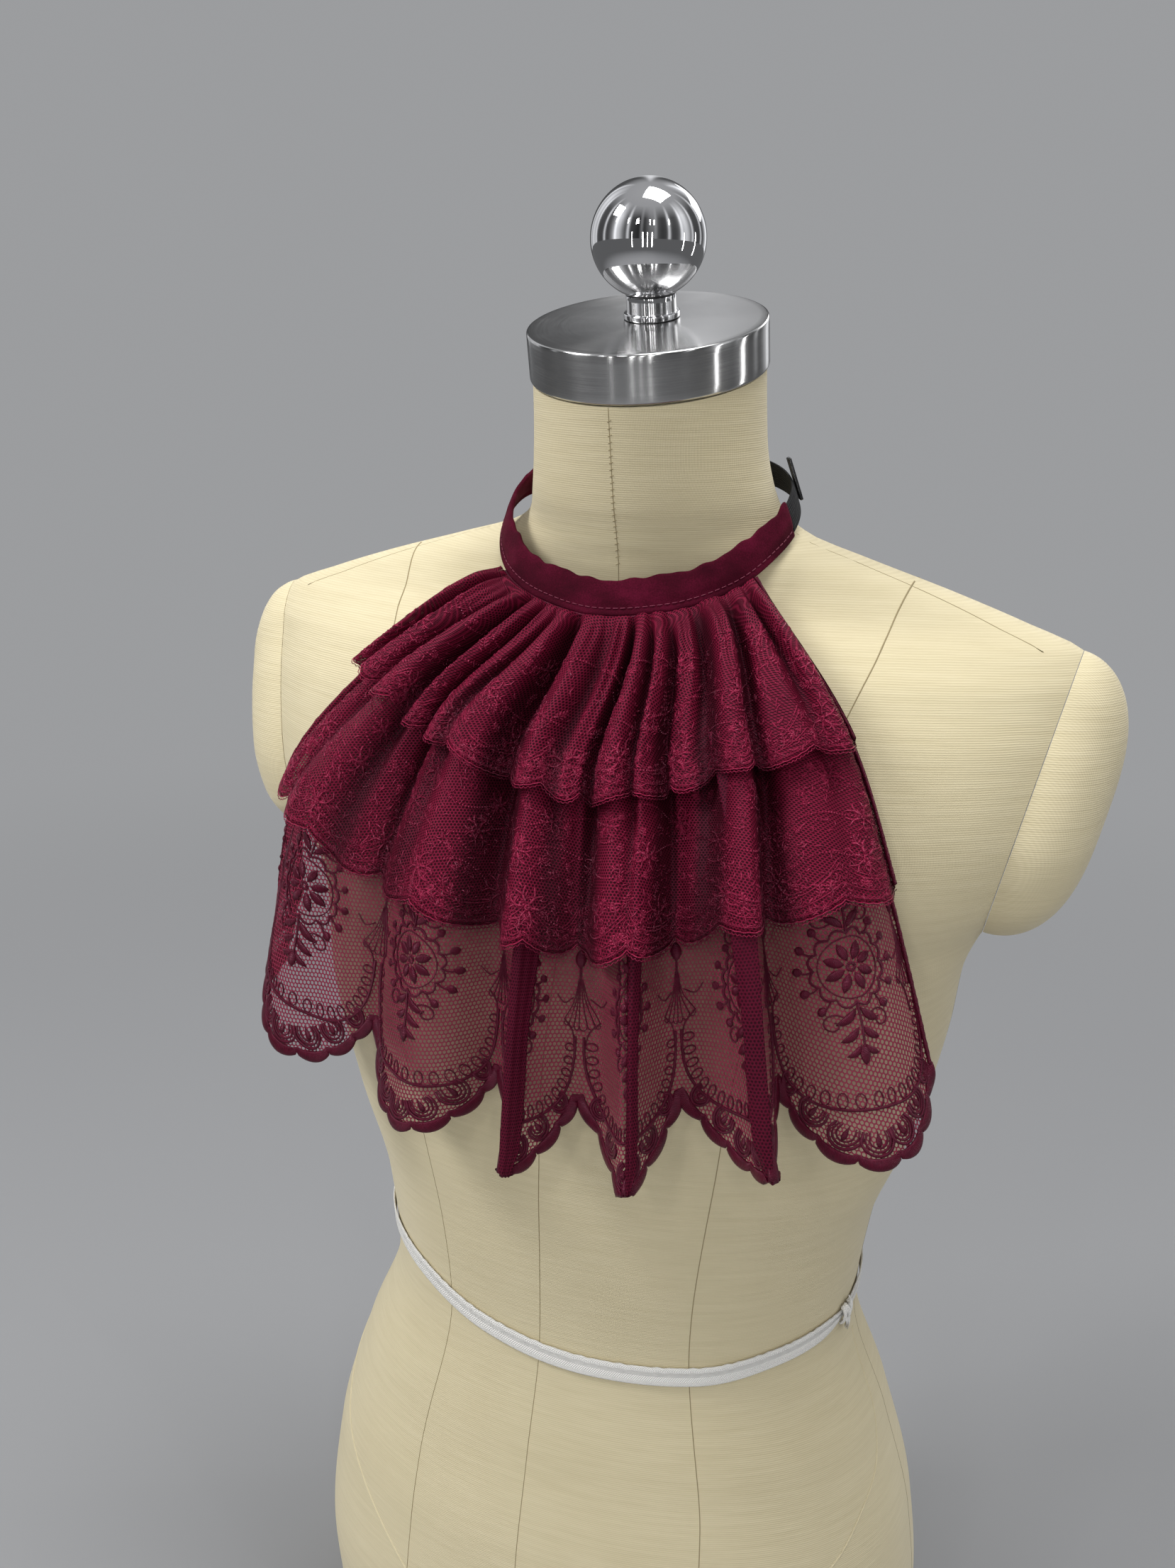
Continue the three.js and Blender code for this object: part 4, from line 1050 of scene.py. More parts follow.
# %% Fan and folds
FLAT_LENGTH, SCALLOPS = 525.0, 7
GUIDE_DROPS = (0, 80, 150, 240)
GUIDES = (   # fan, angle on the band, and the point that the line passes at each drop
    (0.00, -50, (-105, -66, 570), (-152, -66, 511), (-163, -58, 424)),
    (0.08, -42, (-96, -75, 564), (-140, -84, 506), (-158, -92, 405)),
    (0.25, -24, (-65, -86, 546), (-79, -110, 480), (-88, -119, 378)),
    (0.50, 4, (12, -99, 530), (19, -125, 471), (22, -137, 372)),
    (0.75, 31, (72, -87, 546), (85, -114, 490), (102, -129, 392)),
    (1.00, 60, (116, -66, 558), (140, -78, 501), (175, -92, 397)),
)
FOLD_COLUMNS = ("flat", "fan", "out1", "out2", "out3", "round", "round_net", "tip")
FOLDS = (
    (0, 0, -1, -2, -3, 0, 0, 0), (55, 0.07, 1, 2, 2, 0, 0, 0),
    (108, 0.14, 3, 7, 8, 0.3, 0.2, 0), (152, 0.235, -3, -6, -8, 0, 0, 0),
    (190, 0.31, 5, 8, 9, 0.4, 0.3, 0), (225, 0.385, -8, -12, -13, 0, 0, 0),
    (256, 0.43, 5, 9, 12, 0.2, -0.5, 10), (300, 0.49, -6, -9, -9, 0, 0, 0),
    (335, 0.575, 6, 10, 11, 0.3, -0.5, 9), (378, 0.64, -7, -12, -13, 0, 0, 0),
    (428, 0.765, 4, 8, 12, 0.3, -0.5, 10), (452, 0.785, 1, -5, -13, 0, 0, 0),
    (490, 0.91, 4, 6, 7, 0.4, 0.3, 0), (525, 1, -2, -3, -6, 0, 0, 0),
)
TIERS = {
    "tier_1_lace": {"drop": 82, "lift": (4.2, 13.2), "scallop": 5, "scallops": 14, "level": 1},
    "tier_2_lace": {"drop": 150, "lift": (2.1, 7.3), "scallop": 5, "scallops": 14, "level": 2},
    "tier_3_net": {"drop": 240, "lift": (0, 0), "scallop": 30, "scallops": SCALLOPS, "level": 3},
}
GATHERS, GATHER_DROPS, GATHER_OUT = 14, (0, 28, 80, 150, 240), (1.3, 2.4, 1.5, 0.7, 0.3)
FOLD_START, OPENING, TIER_BACK, LIFT_POWER, HEM_POWER = 0.12, 70.0, 2.1, 0.7, 0.8
TIP_WIDTH, SEAM_REACH, FAN_STEP, DROP_STEP = 6.0, 40.0, 0.004, 3.0
fold = {c: np.array([row[i] for row in FOLDS], float) for i, c in enumerate(FOLD_COLUMNS)}
guide_fan = [g[0] for g in GUIDES]
guide_seam = np.array([band_point(g[1], 1.0) for g in GUIDES])
guide_rows = np.array([[seam, *g[2:]] for seam, g in zip(guide_seam, GUIDES)], float)


def fan_point(fan, drop):
    """The plain fan without folds; near the seam it follows the band's lower edge."""
    axes, chord = [], []
    for axis in range(3):
        down = np.stack([smooth_through(GUIDE_DROPS, rows[:, axis], drop) for rows in guide_rows])
        axes.append(smooth_through(guide_fan, down, fan))
        chord.append(smooth_through(guide_fan, guide_seam[:, axis], fan))
    seam = band_point(smooth_through(guide_fan, [g[1] for g in GUIDES], fan), 1.0)
    near = np.maximum(0, 1 - drop / SEAM_REACH) ** 2
    return np.stack(axes, -1) + (seam - np.stack(chord, -1)) * near[..., None]


def fan_normal(fan, drop):
    along = fan_point(np.minimum(1, fan + FAN_STEP), drop) - fan_point(np.maximum(0, fan - FAN_STEP), drop)
    top = np.maximum(0, drop - DROP_STEP)
    down = fan_point(fan, top + 2 * DROP_STEP) - fan_point(fan, top)
    return unit(np.cross(down, along))


def fold_at(flat, tier):
    """Where the lace hangs across the fan and how far it stands out, at its hem."""
    out = fold[f"out{tier['level']}"]
    round_ = fold["round_net" if tier["level"] == 3 else "round"]
    i = np.clip(np.searchsorted(fold["flat"], flat, side="left") - 1, 0, len(FOLDS) - 2)
    t = (flat - fold["flat"][i]) / (fold["flat"][i + 1] - fold["flat"][i])
    bunch = np.where(out[i] > out[i + 1], round_[i], -round_[i + 1])
    fan = mix(fold["fan"][i], fold["fan"][i + 1], t + bunch * np.sin(math.pi * t) / math.pi)
    return fan, mix(out[i], out[i + 1], (1 - np.cos(math.pi * t)) / 2)


# Under the band the gathers are uneven: small pleats of several widths, gone by PLEAT_FADE.
# The sheer net is the fullest, so its top, which the lace covers, has finer pleats as well.
PLEAT_FADE, PLEAT_OUT, NET_PLEAT_FADE, NET_PLEAT_OUT = 24.0, 0.85, 46.0, 1.0
CREASE_POWER, GATHER_MORE = 2.4, 2.3


def small_pleats(even, drop, sheer):
    wave = np.sin(2 * math.pi * (23 * even + 0.45 * np.sin(7 * math.pi * even)))
    wave += 0.6 * np.sin(2 * math.pi * (37 * even + 0.3 * np.sin(11 * even) + 0.2))
    fine = NET_PLEAT_OUT * np.sin(2 * math.pi * 67 * even) * np.exp(-((drop - 12) / NET_PLEAT_FADE) ** 2)
    near = np.exp(-((drop - 10) / PLEAT_FADE) ** 2)
    return PLEAT_OUT * wave * ease(drop, 0, 9) * near + (fine if sheer else 0)


def gathers(even):
    """Round tubes of uneven width and depth, with narrow creases between them."""
    wave = np.cos(2 * math.pi * (GATHERS * even + 0.27 * np.sin(6 * math.pi * even + 0.5)) + math.pi)
    depth = 1 + 0.35 * np.sin(10 * math.pi * even + 1)
    return depth * (1 - 2 * ((1 - wave) / 2) ** CREASE_POWER)


def cloth_point(tier, flat, drop):
    fan_hem, fold_out = fold_at(flat, tier)
    even = flat / FLAT_LENGTH
    fan = mix(even, fan_hem, ease(drop, 0, OPENING))
    down = np.minimum(1, drop / tier["drop"])
    grown = FOLD_START + (1 - FOLD_START) * np.sin(math.pi / 2 * down)
    more = mix(1.0, GATHER_MORE, ease(drop, 0, 14))       # at the seam they stay under the band
    gather = smooth_through(GATHER_DROPS, GATHER_OUT, drop) * gathers(even) * more
    lift = mix(*tier["lift"], down ** LIFT_POWER)
    out = fold_out * grown + gather + lift - TIER_BACK + small_pleats(even, drop, tier["level"] == 3)
    return fan_point(fan, drop) + fan_normal(fan, drop) * out[..., None], out


def hem_drop(tier, flat):
    wave = np.abs(np.sin(math.pi * tier["scallops"] * flat / FLAT_LENGTH))
    tip = sum(t * np.exp(-((flat - f) / TIP_WIDTH) ** 2) for t, f in zip(fold["tip"], fold["flat"]))
    return tier["drop"] - tier["scallop"] * (1 - wave ** HEM_POWER) + (tip if tier["level"] == 3 else 0)


# %% [markdown]
# ### A chart of each tier
# The embroidery is drawn flat and then laid on the hanging cloth, so a chart of each tier is
# kept: where every place of the flat lace hangs, and which way it faces. A second way to name
# a place is its distance along the hanging row. Flowers placed that way stay round where the
# lace is gathered, and the net's holes stay six-sided. The chart also says how deep a place
# lies between two rolls of the cloth, because the materials paint shade there.

# %% Charts of the tiers
CHART_STEP, CHART_ROW, CHART_MORE = 1.25, 1.5, 26
CHART_MIDDLE = 300                   # place on the flat lace that runs are counted from
HOLLOW_REACH, HOLLOW_DEEP = 17, (1.5, 9.0)      # mm


def hollow_shade_mask(out):
    """Mask of the painted shade: 0 on the rolls of the cloth, and 1 where it lies deep between two."""
    reach, columns = int(HOLLOW_REACH / CHART_STEP), out.shape[1]
    padded = np.pad(out, ((0, 0), (reach, reach)), mode="edge")
    crest = np.max([padded[:, k:k + columns] for k in range(2 * reach + 1)], axis=0)
    return ease(crest - out, *HOLLOW_DEEP)


def chart_of(tier):
    flats = np.arange(0, FLAT_LENGTH + 0.1, CHART_STEP)
    drops = np.arange(0, tier["drop"] + CHART_MORE, CHART_ROW)
    drop_grid, flat_grid = np.meshgrid(drops, flats, indexing="ij")
    points, out = cloth_point(tier, flat_grid, drop_grid)
    normals = unit(np.cross(np.gradient(points, axis=0), np.gradient(points, axis=1)))
    run = laid_length(points, 1)
    run -= run[:, [int(CHART_MIDDLE / CHART_STEP)]]
    widths = run[:, -1] - run[:, 0]
    growth = (widths[int(tier["drop"] / CHART_ROW)] - widths[0]) / tier["drop"]
    apex = widths[0] / growth                     # height of the point that the fan opens from
    turn = run / (apex + drops)[:, None]
    opened = np.stack([(apex + drop_grid) * np.sin(turn), -(apex + drop_grid) * np.cos(turn)], -1)
    runs = np.arange(math.floor(run.min()), math.ceil(run.max()) + 1, 1.0)
    flat_of_run = np.stack([np.interp(runs, row, flats) for row in run])
    return {"points": points, "normals": normals, "opened": opened, "hollow_shade_mask": hollow_shade_mask(out),
            "drops": drops, "runs": runs, "flat_of_run": flat_of_run, "widths": widths,
            "ends": (run[:, 0], run[:, -1])}


def read(table, row, column):
    """A value between four neighbours of a chart."""
    row = np.clip(row, 0, table.shape[0] - 1.001)
    column = np.clip(column, 0, table.shape[1] - 1.001)
    r, c = row.astype(int), column.astype(int)
    y, x = row - r, column - c
    if table.ndim == 3:
        y, x = y[..., None], x[..., None]
    return mix(mix(table[r, c], table[r, c + 1], x), mix(table[r + 1, c], table[r + 1, c + 1], x), y)


charts = {name: chart_of(tier) for name, tier in TIERS.items()}


def on_tier(name, flat, drop, raised=0.0):
    """Points and normals of a tier for places on the flat lace, raised off its middle."""
    chart = charts[name]
    row, column = np.asarray(drop, float) / CHART_ROW, np.asarray(flat, float) / CHART_STEP
    row, column = np.broadcast_arrays(row, column)
    normal = unit(read(chart["normals"], row, column))
    return read(chart["points"], row, column) + normal * np.asarray(raised)[..., None], normal


def flat_at(name, run, drop):
    chart = charts[name]
    row = np.asarray(drop, float) / CHART_ROW
    column = np.asarray(run, float) - chart["runs"][0]
    return read(chart["flat_of_run"], *np.broadcast_arrays(row, column))


for name, chart in charts.items():
    print(f"{name}: {chart['widths'][0]:.0f} mm wide at the band, "
          f"{chart['widths'][int(TIERS[name]['drop'] / CHART_ROW)]:.0f} mm at the hem")


# %% [markdown]
# ## The lace tiers
# Each tier is a thin sheet over its own chart. The plain solid is a millimetre thick so that
# it can be handled; real net is about a quarter of that, so Solidify gives the sheet a thin
# wall. A cloth simulation would lose the hang that was measured, so the folds are placed
# from the table.

# %% Net sheets
NET_WALL, NET_TOP = 0.28, SEAM_GAP + 0.55
SHEET_COLUMNS = 300
HEM_IN, VALLEY_OUT = 1.2, 3.2        # mm: short of the hem, and added between two scallops


def net_sheet(name, piece, rows, material, more=0.0):
    """A tier from the seam to its scalloped hem; more lets plain net show past the hem."""
    tier = TIERS[name]
    flats = np.linspace(0, FLAT_LENGTH, SHEET_COLUMNS + 1)
    hem = hem_drop(tier, flats) + more
    share = np.linspace(0, 1, rows + 1)[:, None]
    drop_grid = mix(NET_TOP, hem[None, :], share)
    flat_grid = np.broadcast_to(flats, drop_grid.shape)
    points, _ = on_tier(name, flat_grid, drop_grid)
    uv = read(charts[name]["opened"], drop_grid / CHART_ROW, flat_grid / CHART_STEP)
    # The hollows carry the painted shade of the lace tiers; the sheer net gets none.
    hollow_shade = read(charts[name]["hollow_shade_mask"], drop_grid / CHART_ROW, flat_grid / CHART_STEP)
    sheet = grid_piece(piece, points, uv, flip=True, hollow_shade=None if tier["level"] == 3 else hollow_shade)
    apply_modifier(sheet, "SOLIDIFY", thickness=NET_WALL * MM, offset=0.0)
    return finished(sheet, material, "net" if tier["level"] == 3 else "lace", name)


tier_1 = net_sheet("tier_1_lace", "lace_tier_1", 44, LACE_NET)
tier_2 = net_sheet("tier_2_lace", "lace_tier_2", 72, LACE_NET)
valley = np.abs(np.linspace(0, SCALLOPS, SHEET_COLUMNS + 1) % 1 - 0.5) * 2    # 1 where two scallops meet
tier_3 = net_sheet("tier_3_net", "net_tier_3", 110, SHEER_NET,
                   more=VALLEY_OUT * ease(valley, 0.6, 1.0) - HEM_IN)

# %% [markdown]
# The gathered headings of the three tiers are stitched together under the band. A dark welt
# along the band's lower edge stands for them, and its dark colour is a painted shadow under
# the band's edge.

# %% Gathered heading
WELT_FROM, WELT_TO, WELT_POINTS, WELT_HALF = -50, 60, 160, 0.75
welt_angle = np.linspace(WELT_FROM, WELT_TO, WELT_POINTS)
welt_foot = band_point(welt_angle, np.full(WELT_POINTS, 1.0)) - (0, 0, WELT_HALF)
welt_out = band_normal(welt_angle, np.full(WELT_POINTS, 0.9))
welt_high = 1.15 + 0.15 * np.sin(welt_angle * 1.3)
welt_line = (welt_foot + welt_out * 0.1, welt_out, WELT_HALF, welt_high)
# The dark welt paints the shadow under the band's edge.
finished(cord_piece("heading_shadow_welt", [welt_line], 8), SATIN_THREAD, "lace")

# %% [markdown]
# Where three ridges of the sheer tier are folded sharp, the net lies double and looks dense;
# its colour is also darker than the sheer net's, as painted shade in the fold.
# A narrow second ply lies on each. Two follow the cloth to one side of the ridge, and the third
# is a free fold that stands over the valley beside it. All three end in a point.

# %% Folded plies of the sheer tier
PLIES = (   # ridge, side, wide at the top, wide near the hem, stands free
    (256, 1, 22.0, 11.0, False),
    (335, 1, 17.0, 9.0, False),
    (428, -1, 11.5, 6.0, True),
)
PLY_TOP, PLY_ROWS, PLY_COLUMNS, PLY_RAISED, PLY_POINT = 60.0, 110, 14, 1.5, 20.0
PLY_BELOW_HEM, PLY_CURL, PLY_WALL = 2.0, 3.2, 0.25


def folded_ply(index, ridge, side, wide_top, wide_hem, free):
    tier = TIERS["tier_3_net"]
    end = float(hem_drop(tier, np.array(ridge))) + PLY_BELOW_HEM
    share = np.linspace(0, 1, PLY_ROWS + 1)[:, None]
    across = np.linspace(-0.12, 1, PLY_COLUMNS + 1)[None, :]
    drop_grid = mix(PLY_TOP, end, share) + 0 * across
    taper = np.clip((end - drop_grid) / PLY_POINT, 0.02, 1) ** 0.8
    wide = mix(wide_top, wide_hem, share) * taper * (1 + 0.06 * np.sin(share * 17))
    crease = PLY_RAISED + 0.45 * np.sin(np.clip(across, 0, 1) * math.pi * 2.5) ** 2
    if free:
        foot, _ = on_tier("tier_3_net", ridge + 0 * drop_grid, drop_grid)
        fan, _ = fold_at(ridge + 0 * drop_grid, tier)
        along = unit(fan_point(fan + FAN_STEP, drop_grid) - fan_point(fan - FAN_STEP, drop_grid))
        curl = crease - PLY_CURL * np.clip(across, 0, 1) ** 2
        points = (foot + along * (side * across * wide)[..., None]
                  + fan_normal(fan, drop_grid) * curl[..., None])
    else:
        points, _ = on_tier("tier_3_net", ridge + side * across * wide, drop_grid, crease + 0 * share)
    uv = np.stack([across * wide, -drop_grid], -1)
    ply = grid_piece(f"net_folded_ply_{index}", points, uv, flip=side > 0)
    apply_modifier(ply, "SOLIDIFY", thickness=PLY_WALL * MM, offset=0.0)
    # A darker copy of the sheer net: the double ply, with painted shade in the fold.
    return finished(ply, FOLDED_NET_SHADED, "net")


plies = [folded_ply(i + 1, *row) for i, row in enumerate(PLIES)]

# %% [markdown]
# ## Embroidery
# The motifs are threads laid on the net, so each is a real cord, half sunk in the cloth: it
# catches light and casts a shadow, which a printed pattern cannot. A motif is drawn once, flat
# and in millimetres, and every copy is laid on the chart. A leaf or petal is a cord that
# swells in its middle, as satin stitch does.

# %% Threads on the cloth
def laid(name, flat, drop, wide, high=None):
    """A thread along places of the flat lace."""
    high = wide if high is None else high
    centres, normals = on_tier(name, np.asarray(flat, float), np.asarray(drop, float),
                               NET_WALL / 2 + np.asarray(high) * 0.35 + np.zeros(len(flat)))
    return centres, normals, wide, high


def swelling(n, most, least=0.12):
    """Half widths of a satin stroke: narrow at both ends and full in the middle."""
    return least + (most - least) * np.sin(np.linspace(0, math.pi, n)) ** 0.8


def turned_by(xy, degrees, scale=1.0, move=(0, 0)):
    c, s = math.cos(math.radians(degrees)), math.sin(math.radians(degrees))
    x, y = np.asarray(xy, float).T * scale
    return np.stack([x * c - y * s + move[0], x * s + y * c + move[1]], -1)


def line(*points, n=8):
    """A smooth line through a few points, given as n points."""
    p = np.array(points, float)
    far = laid_length(p, 0)
    t = np.linspace(0, far[-1], n)
    return np.stack([smooth_through(far, p[:, 0], t), smooth_through(far, p[:, 1], t)], -1)


def loop(rx, ry, n=12, start=0, end=360):
    turn = np.radians(np.linspace(start, end, n + 1))
    return np.stack([rx * np.cos(turn), ry * np.sin(turn)], -1)


def petal(angle, start, end, wide, bend=0.0, n=6, move=(0, 0)):
    """A satin leaf from start to end along an angle, as ((x, y), half widths)."""
    t = np.linspace(0, 1, n)
    xy = np.stack([mix(start, end, t), bend * np.sin(math.pi * t)], -1)
    return turned_by(xy, angle, move=move), swelling(n, wide)


# %% [markdown]
# ### Scalloped border of the sheer tier
# Seven large scallops hang along the hem. Each is edged by seven satin lobes, with three
# nested arcs and a small drop-shaped eye in every lobe, and above them a plain line carries a
# row of open rings.

# %% Border of the sheer tier
SCALLOP_WIDE, LOBES, LOBE_POINTS, LOBE_OUT = FLAT_LENGTH / SCALLOPS, 7, 13, 3.4
RIBBON_LEAST, RIBBON_MORE, OUTER_LOBE_SIZE = 1.5, 1.35, 0.8
ARC_REACH, ARC_DROP, LEG_DROP = 5.1, 9.4, 12.2
ARCS = ((1.0, 0.8), (0.76, 0.62), (0.52, 0.5))               # share of the reach, half width
EYE_TOP, EYE_FOOT = 12.5, 6.6
EYE_WIDTHS = np.array([0.1, 0.4, 0.9, 1.35, 1.4, 0.45])
POINT_LONG, POINT_PAST = 26, 8.5
POINT_WIDTHS = np.array([0.5, 1.2, 1.7, 2.1, 2.4, 2.6, 2.6, 2.4, 2.1, 1.8, 1.4, 1.0, 0.6, 0.2])
NET = TIERS["tier_3_net"]


def scallop_hem(k, n=400):
    """The smooth hem of one scallop: places, directions along and outwards, and the run."""
    s = 0.5 - 0.5 * np.cos(np.linspace(0, math.pi, n))
    flat = SCALLOP_WIDE * (k + s)
    p = np.stack([flat, hem_drop(NET, flat)], -1)
    tangent = unit(np.gradient(p, axis=0))
    outward = np.stack([-tangent[:, 1], tangent[:, 0]], -1)
    return p, tangent, outward, laid_length(p, 0)


def at_run(table, run, far):
    return np.stack([np.interp(far, run, table[:, i]) for i in range(2)], -1)


satin, lines = [], []
edge_xy, edge_wide = [], []
for k in range(SCALLOPS):
    p, tangent, outward, run = scallop_hem(k)
    for i in range(LOBES):
        t = np.linspace(0, 1, LOBE_POINTS)[:-1]
        far = (i + t) / LOBES * run[-1]
        ribbon = RIBBON_LEAST + RIBBON_MORE * np.sin(math.pi * t) ** 0.8
        bulge = LOBE_OUT * np.sin(math.pi * t) ** 0.65 - 1.0 - ribbon
        edge_xy.append(at_run(p, run, far) + at_run(outward, run, far) * bulge[:, None])
        edge_wide.append(ribbon)
        middle = np.array([(i + 0.5) / LOBES * run[-1]])
        foot = at_run(p, run, middle)[0]
        along, out = unit(at_run(tangent, run, middle))[0], unit(at_run(outward, run, middle))[0]
        size = 1.0 if 1 <= i <= LOBES - 2 else OUTER_LOBE_SIZE
        place = lambda xy: foot + xy[:, :1] * along - xy[:, 1:] * out
        for share, wide in ARCS:
            r = ARC_REACH * share * size
            arc = loop(r, r * 1.15, 10, 180, 360) + (0, ARC_DROP * size)
            legs = np.array([[-r * 0.8, LEG_DROP * size], [r * 0.8, LEG_DROP * size]])
            lines.append((place(np.concatenate([legs[:1], arc, legs[1:]])), wide))
        eye_y = np.linspace(EYE_TOP, EYE_FOOT, len(EYE_WIDTHS)) * size
        satin.append((place(np.stack([0 * eye_y, eye_y], -1)), EYE_WIDTHS * size))
edge_xy, edge_wide = np.concatenate(edge_xy), np.concatenate(edge_wide)

# The folded points of the hem are all satin: the border lies double there.
for ridge, *_ in PLIES:
    end = float(hem_drop(NET, np.array(ridge))) + POINT_PAST
    point_y = np.linspace(end - POINT_LONG, end, len(POINT_WIDTHS))
    satin.append((np.stack([np.full(len(point_y), ridge + 0.6), point_y], -1), POINT_WIDTHS))

# A broad U in each scallop carries the open rings on its inner side.
U_HALF, U_TOP, U_DEEP, U_POWER, RING_STEP = 35.5, 186.0, 34.0, 2.6, 5.6
RING_HALF, RING_HIGH, RING_MIDDLE = 1.55, 2.7, 3.1
for k in range(SCALLOPS):
    turn = np.linspace(0, math.pi, 61)
    x = -np.sign(np.cos(turn)) * np.abs(np.cos(turn)) ** (2 / U_POWER) * U_HALF
    y = U_TOP + np.sin(turn) ** (2 / U_POWER) * U_DEEP
    u_line = np.stack([SCALLOP_WIDE * (k + 0.5) + x, y], -1)
    lines.append((u_line, 0.75))
    run = laid_length(u_line, 0)
    for far in np.arange(3.5, run[-1] - 2, RING_STEP):
        foot = at_run(u_line, run, np.array([far]))[0]
        ahead = unit(at_run(u_line, run, np.array([far + 0.5]))[0] - foot)
        inward = np.array([ahead[1], -ahead[0]])
        ring = loop(RING_HALF, RING_HIGH, 10) + (0, RING_MIDDLE)
        lines.append((foot + ring[:, :1] * ahead + ring[:, 1:] * inward, 0.42))

# %% [markdown]
# ### Sprigs and flower sprays
# A tassel-like sprig stands where two scallops meet. In the middle of each scallop is a flower
# spray: an eight-petalled daisy in a scalloped ring, on a stem with leaves, curled tendrils
# and berries. It is a common floral layout, drawn for this part.

# %% Sprigs between scallops
SPRIG_BEAD, SPRIG_NECK, SPRIG_FOOT, SPRIG_HALF = 153.0, 163.0, 182.0, 9.0
SPRIG_RISE, SPRIG_MARGIN = 2.5, 6.0
BEAD_HALF, BEAD_WIDTHS = 4.4, np.array([0.3, 1.5, 2.3, 2.6, 2.3, 1.5, 0.3])
for k in range(SCALLOPS + 1):
    x0 = min(max(SCALLOP_WIDE * k, SPRIG_MARGIN), FLAT_LENGTH - SPRIG_MARGIN)
    bead = np.stack([np.full(7, x0), SPRIG_BEAD + np.linspace(-BEAD_HALF, BEAD_HALF, 7)], -1)
    satin.append((bead, BEAD_WIDTHS))
    for side in (-0.35, 0.35):
        lines.append((line((x0 + side, SPRIG_BEAD + 4), (x0 + side, SPRIG_NECK), n=5), 0.36))
    tips = np.linspace(-1, 1, 7)
    for tip in tips:
        foot = (x0 + tip * SPRIG_HALF, SPRIG_FOOT - SPRIG_RISE * abs(tip))
        strand = line((x0 + tip * 0.8, SPRIG_NECK - 1), (x0 + tip * 3.2, SPRIG_NECK + 8), foot, n=8)
        lines.append((strand, 0.32))
    for a, b in zip(tips, tips[1:]):
        middle = (a + b) / 2
        arc = loop(SPRIG_HALF / 6, 1.8, 6, 0, 180)
        lines.append((arc + (x0 + middle * SPRIG_HALF, SPRIG_FOOT - SPRIG_RISE * abs(middle)), 0.32))
    for side in (-1, 1):
        if 0 < x0 + side * 12 < FLAT_LENGTH:
            root = line((x0 + side * SPRIG_HALF, SPRIG_FOOT - 3), (x0 + side * 3.6, SPRIG_FOOT + 2.5),
                        (x0 + side * 2.2, U_TOP + 6), n=8)
            twig = line((x0 + side * 4, 170), (x0 + side * 9, 172.5), (x0 + side * 13, 169), n=8)
            lines += [(root, 0.45), (twig, 0.36)]

# %% Flower sprays in the scallops
SPRAY_DROP, PETALS, RING_SCALLOPS, BERRY_TILTS = 171.0, 8, 12, (-52, -26, 0, 26, 52)
DAISY_IN, DAISY_OUT, RING_REACH, RING_BULGE, INNER_RING = 2.4, 9.6, 12.4, 1.9, 11.0
BERRY_WIDTHS = np.array([0.3, 1.3, 1.8, 1.95, 1.8, 1.3, 0.3])
LEAVES = ((14, 9.5, 1.9), (20.5, 8.5, 1.8), (26.5, 7, 1.5))          # height, long, half width
spray_satin, spray_lines = [], []
for i in range(PETALS):
    spray_satin.append(petal((i + 0.5) * 360 / PETALS, DAISY_IN, DAISY_OUT, 2.15))
spray_satin.append((loop(1.35, 1.35, 8), np.full(9, 0.75)))
ring_turn = np.radians(np.linspace(0, 360, 73))
ring_reach = RING_REACH + RING_BULGE * np.abs(np.sin(ring_turn * RING_SCALLOPS / 2))
ring = np.stack([ring_reach * np.cos(ring_turn), ring_reach * np.sin(ring_turn)], -1)
spray_lines.append((ring, 0.62))
spray_lines.append((loop(INNER_RING, INNER_RING, 36), 0.4))
for up in (-1, 1):
    spray_lines.append((line((0, up * 12), (0.5, up * 22), (0, up * 31), n=10), 0.6))
    spray_satin.append((line((0, up * 27), (0, up * 34), n=7), swelling(7, 2.3)))
    for side in (-1, 1):
        angle = math.degrees(math.atan2(up * 0.75, side))
        for height, long, wide in LEAVES:
            spray_satin.append(petal(angle, 0.8, long, wide, bend=side * up * 0.9, move=(0, up * height)))
for side in (-1, 1):
    for tilt in BERRY_TILTS:
        c, s = math.cos(math.radians(tilt)), math.sin(math.radians(tilt))
        foot, tip = np.array([side * c * 12.4, s * 13.2]), np.array([side * c * 18.2, s * 18.6])
        spray_lines.append((line(foot, (foot + tip) / 2 + (0, 0.8), tip, n=6), 0.5))
        berry = tip + np.array([[side * c, s]]) * np.linspace(-1.9, 1.9, 7)[:, None]
        spray_satin.append((berry, BERRY_WIDTHS))
    for up in (-1, 1):
        turn = np.radians(np.linspace(0, 430, 20))
        reach = np.linspace(4.6, 0.9, 20)
        curl = np.stack([side * (8.2 - reach * np.cos(turn)), up * (19.5 - reach * np.sin(turn) * 0.9)], -1)
        spray_lines.append((curl, 0.45))

for k in range(SCALLOPS):
    middle = np.array([SCALLOP_WIDE * (k + 0.5), SPRAY_DROP])
    satin += [(xy + middle, wide) for xy, wide in spray_satin]
    lines += [(xy + middle, wide) for xy, wide in spray_lines]


NEAR_END, PULLED_IN = 0.3, 0.8


def tier_3_threads(strokes, high_share):
    """Lays strokes on the net; one that would pass an end of the lace is pulled in along it."""
    made = []
    for xy, wide in strokes:
        if xy[:, 0].min() <= NEAR_END or xy[:, 0].max() >= FLAT_LENGTH - NEAR_END:
            xy = np.clip(xy, (PULLED_IN, 0), (FLAT_LENGTH - PULLED_IN, 300))
        made.append(laid("tier_3_net", xy[:, 0], xy[:, 1], wide, np.asarray(wide) * high_share))
    return made


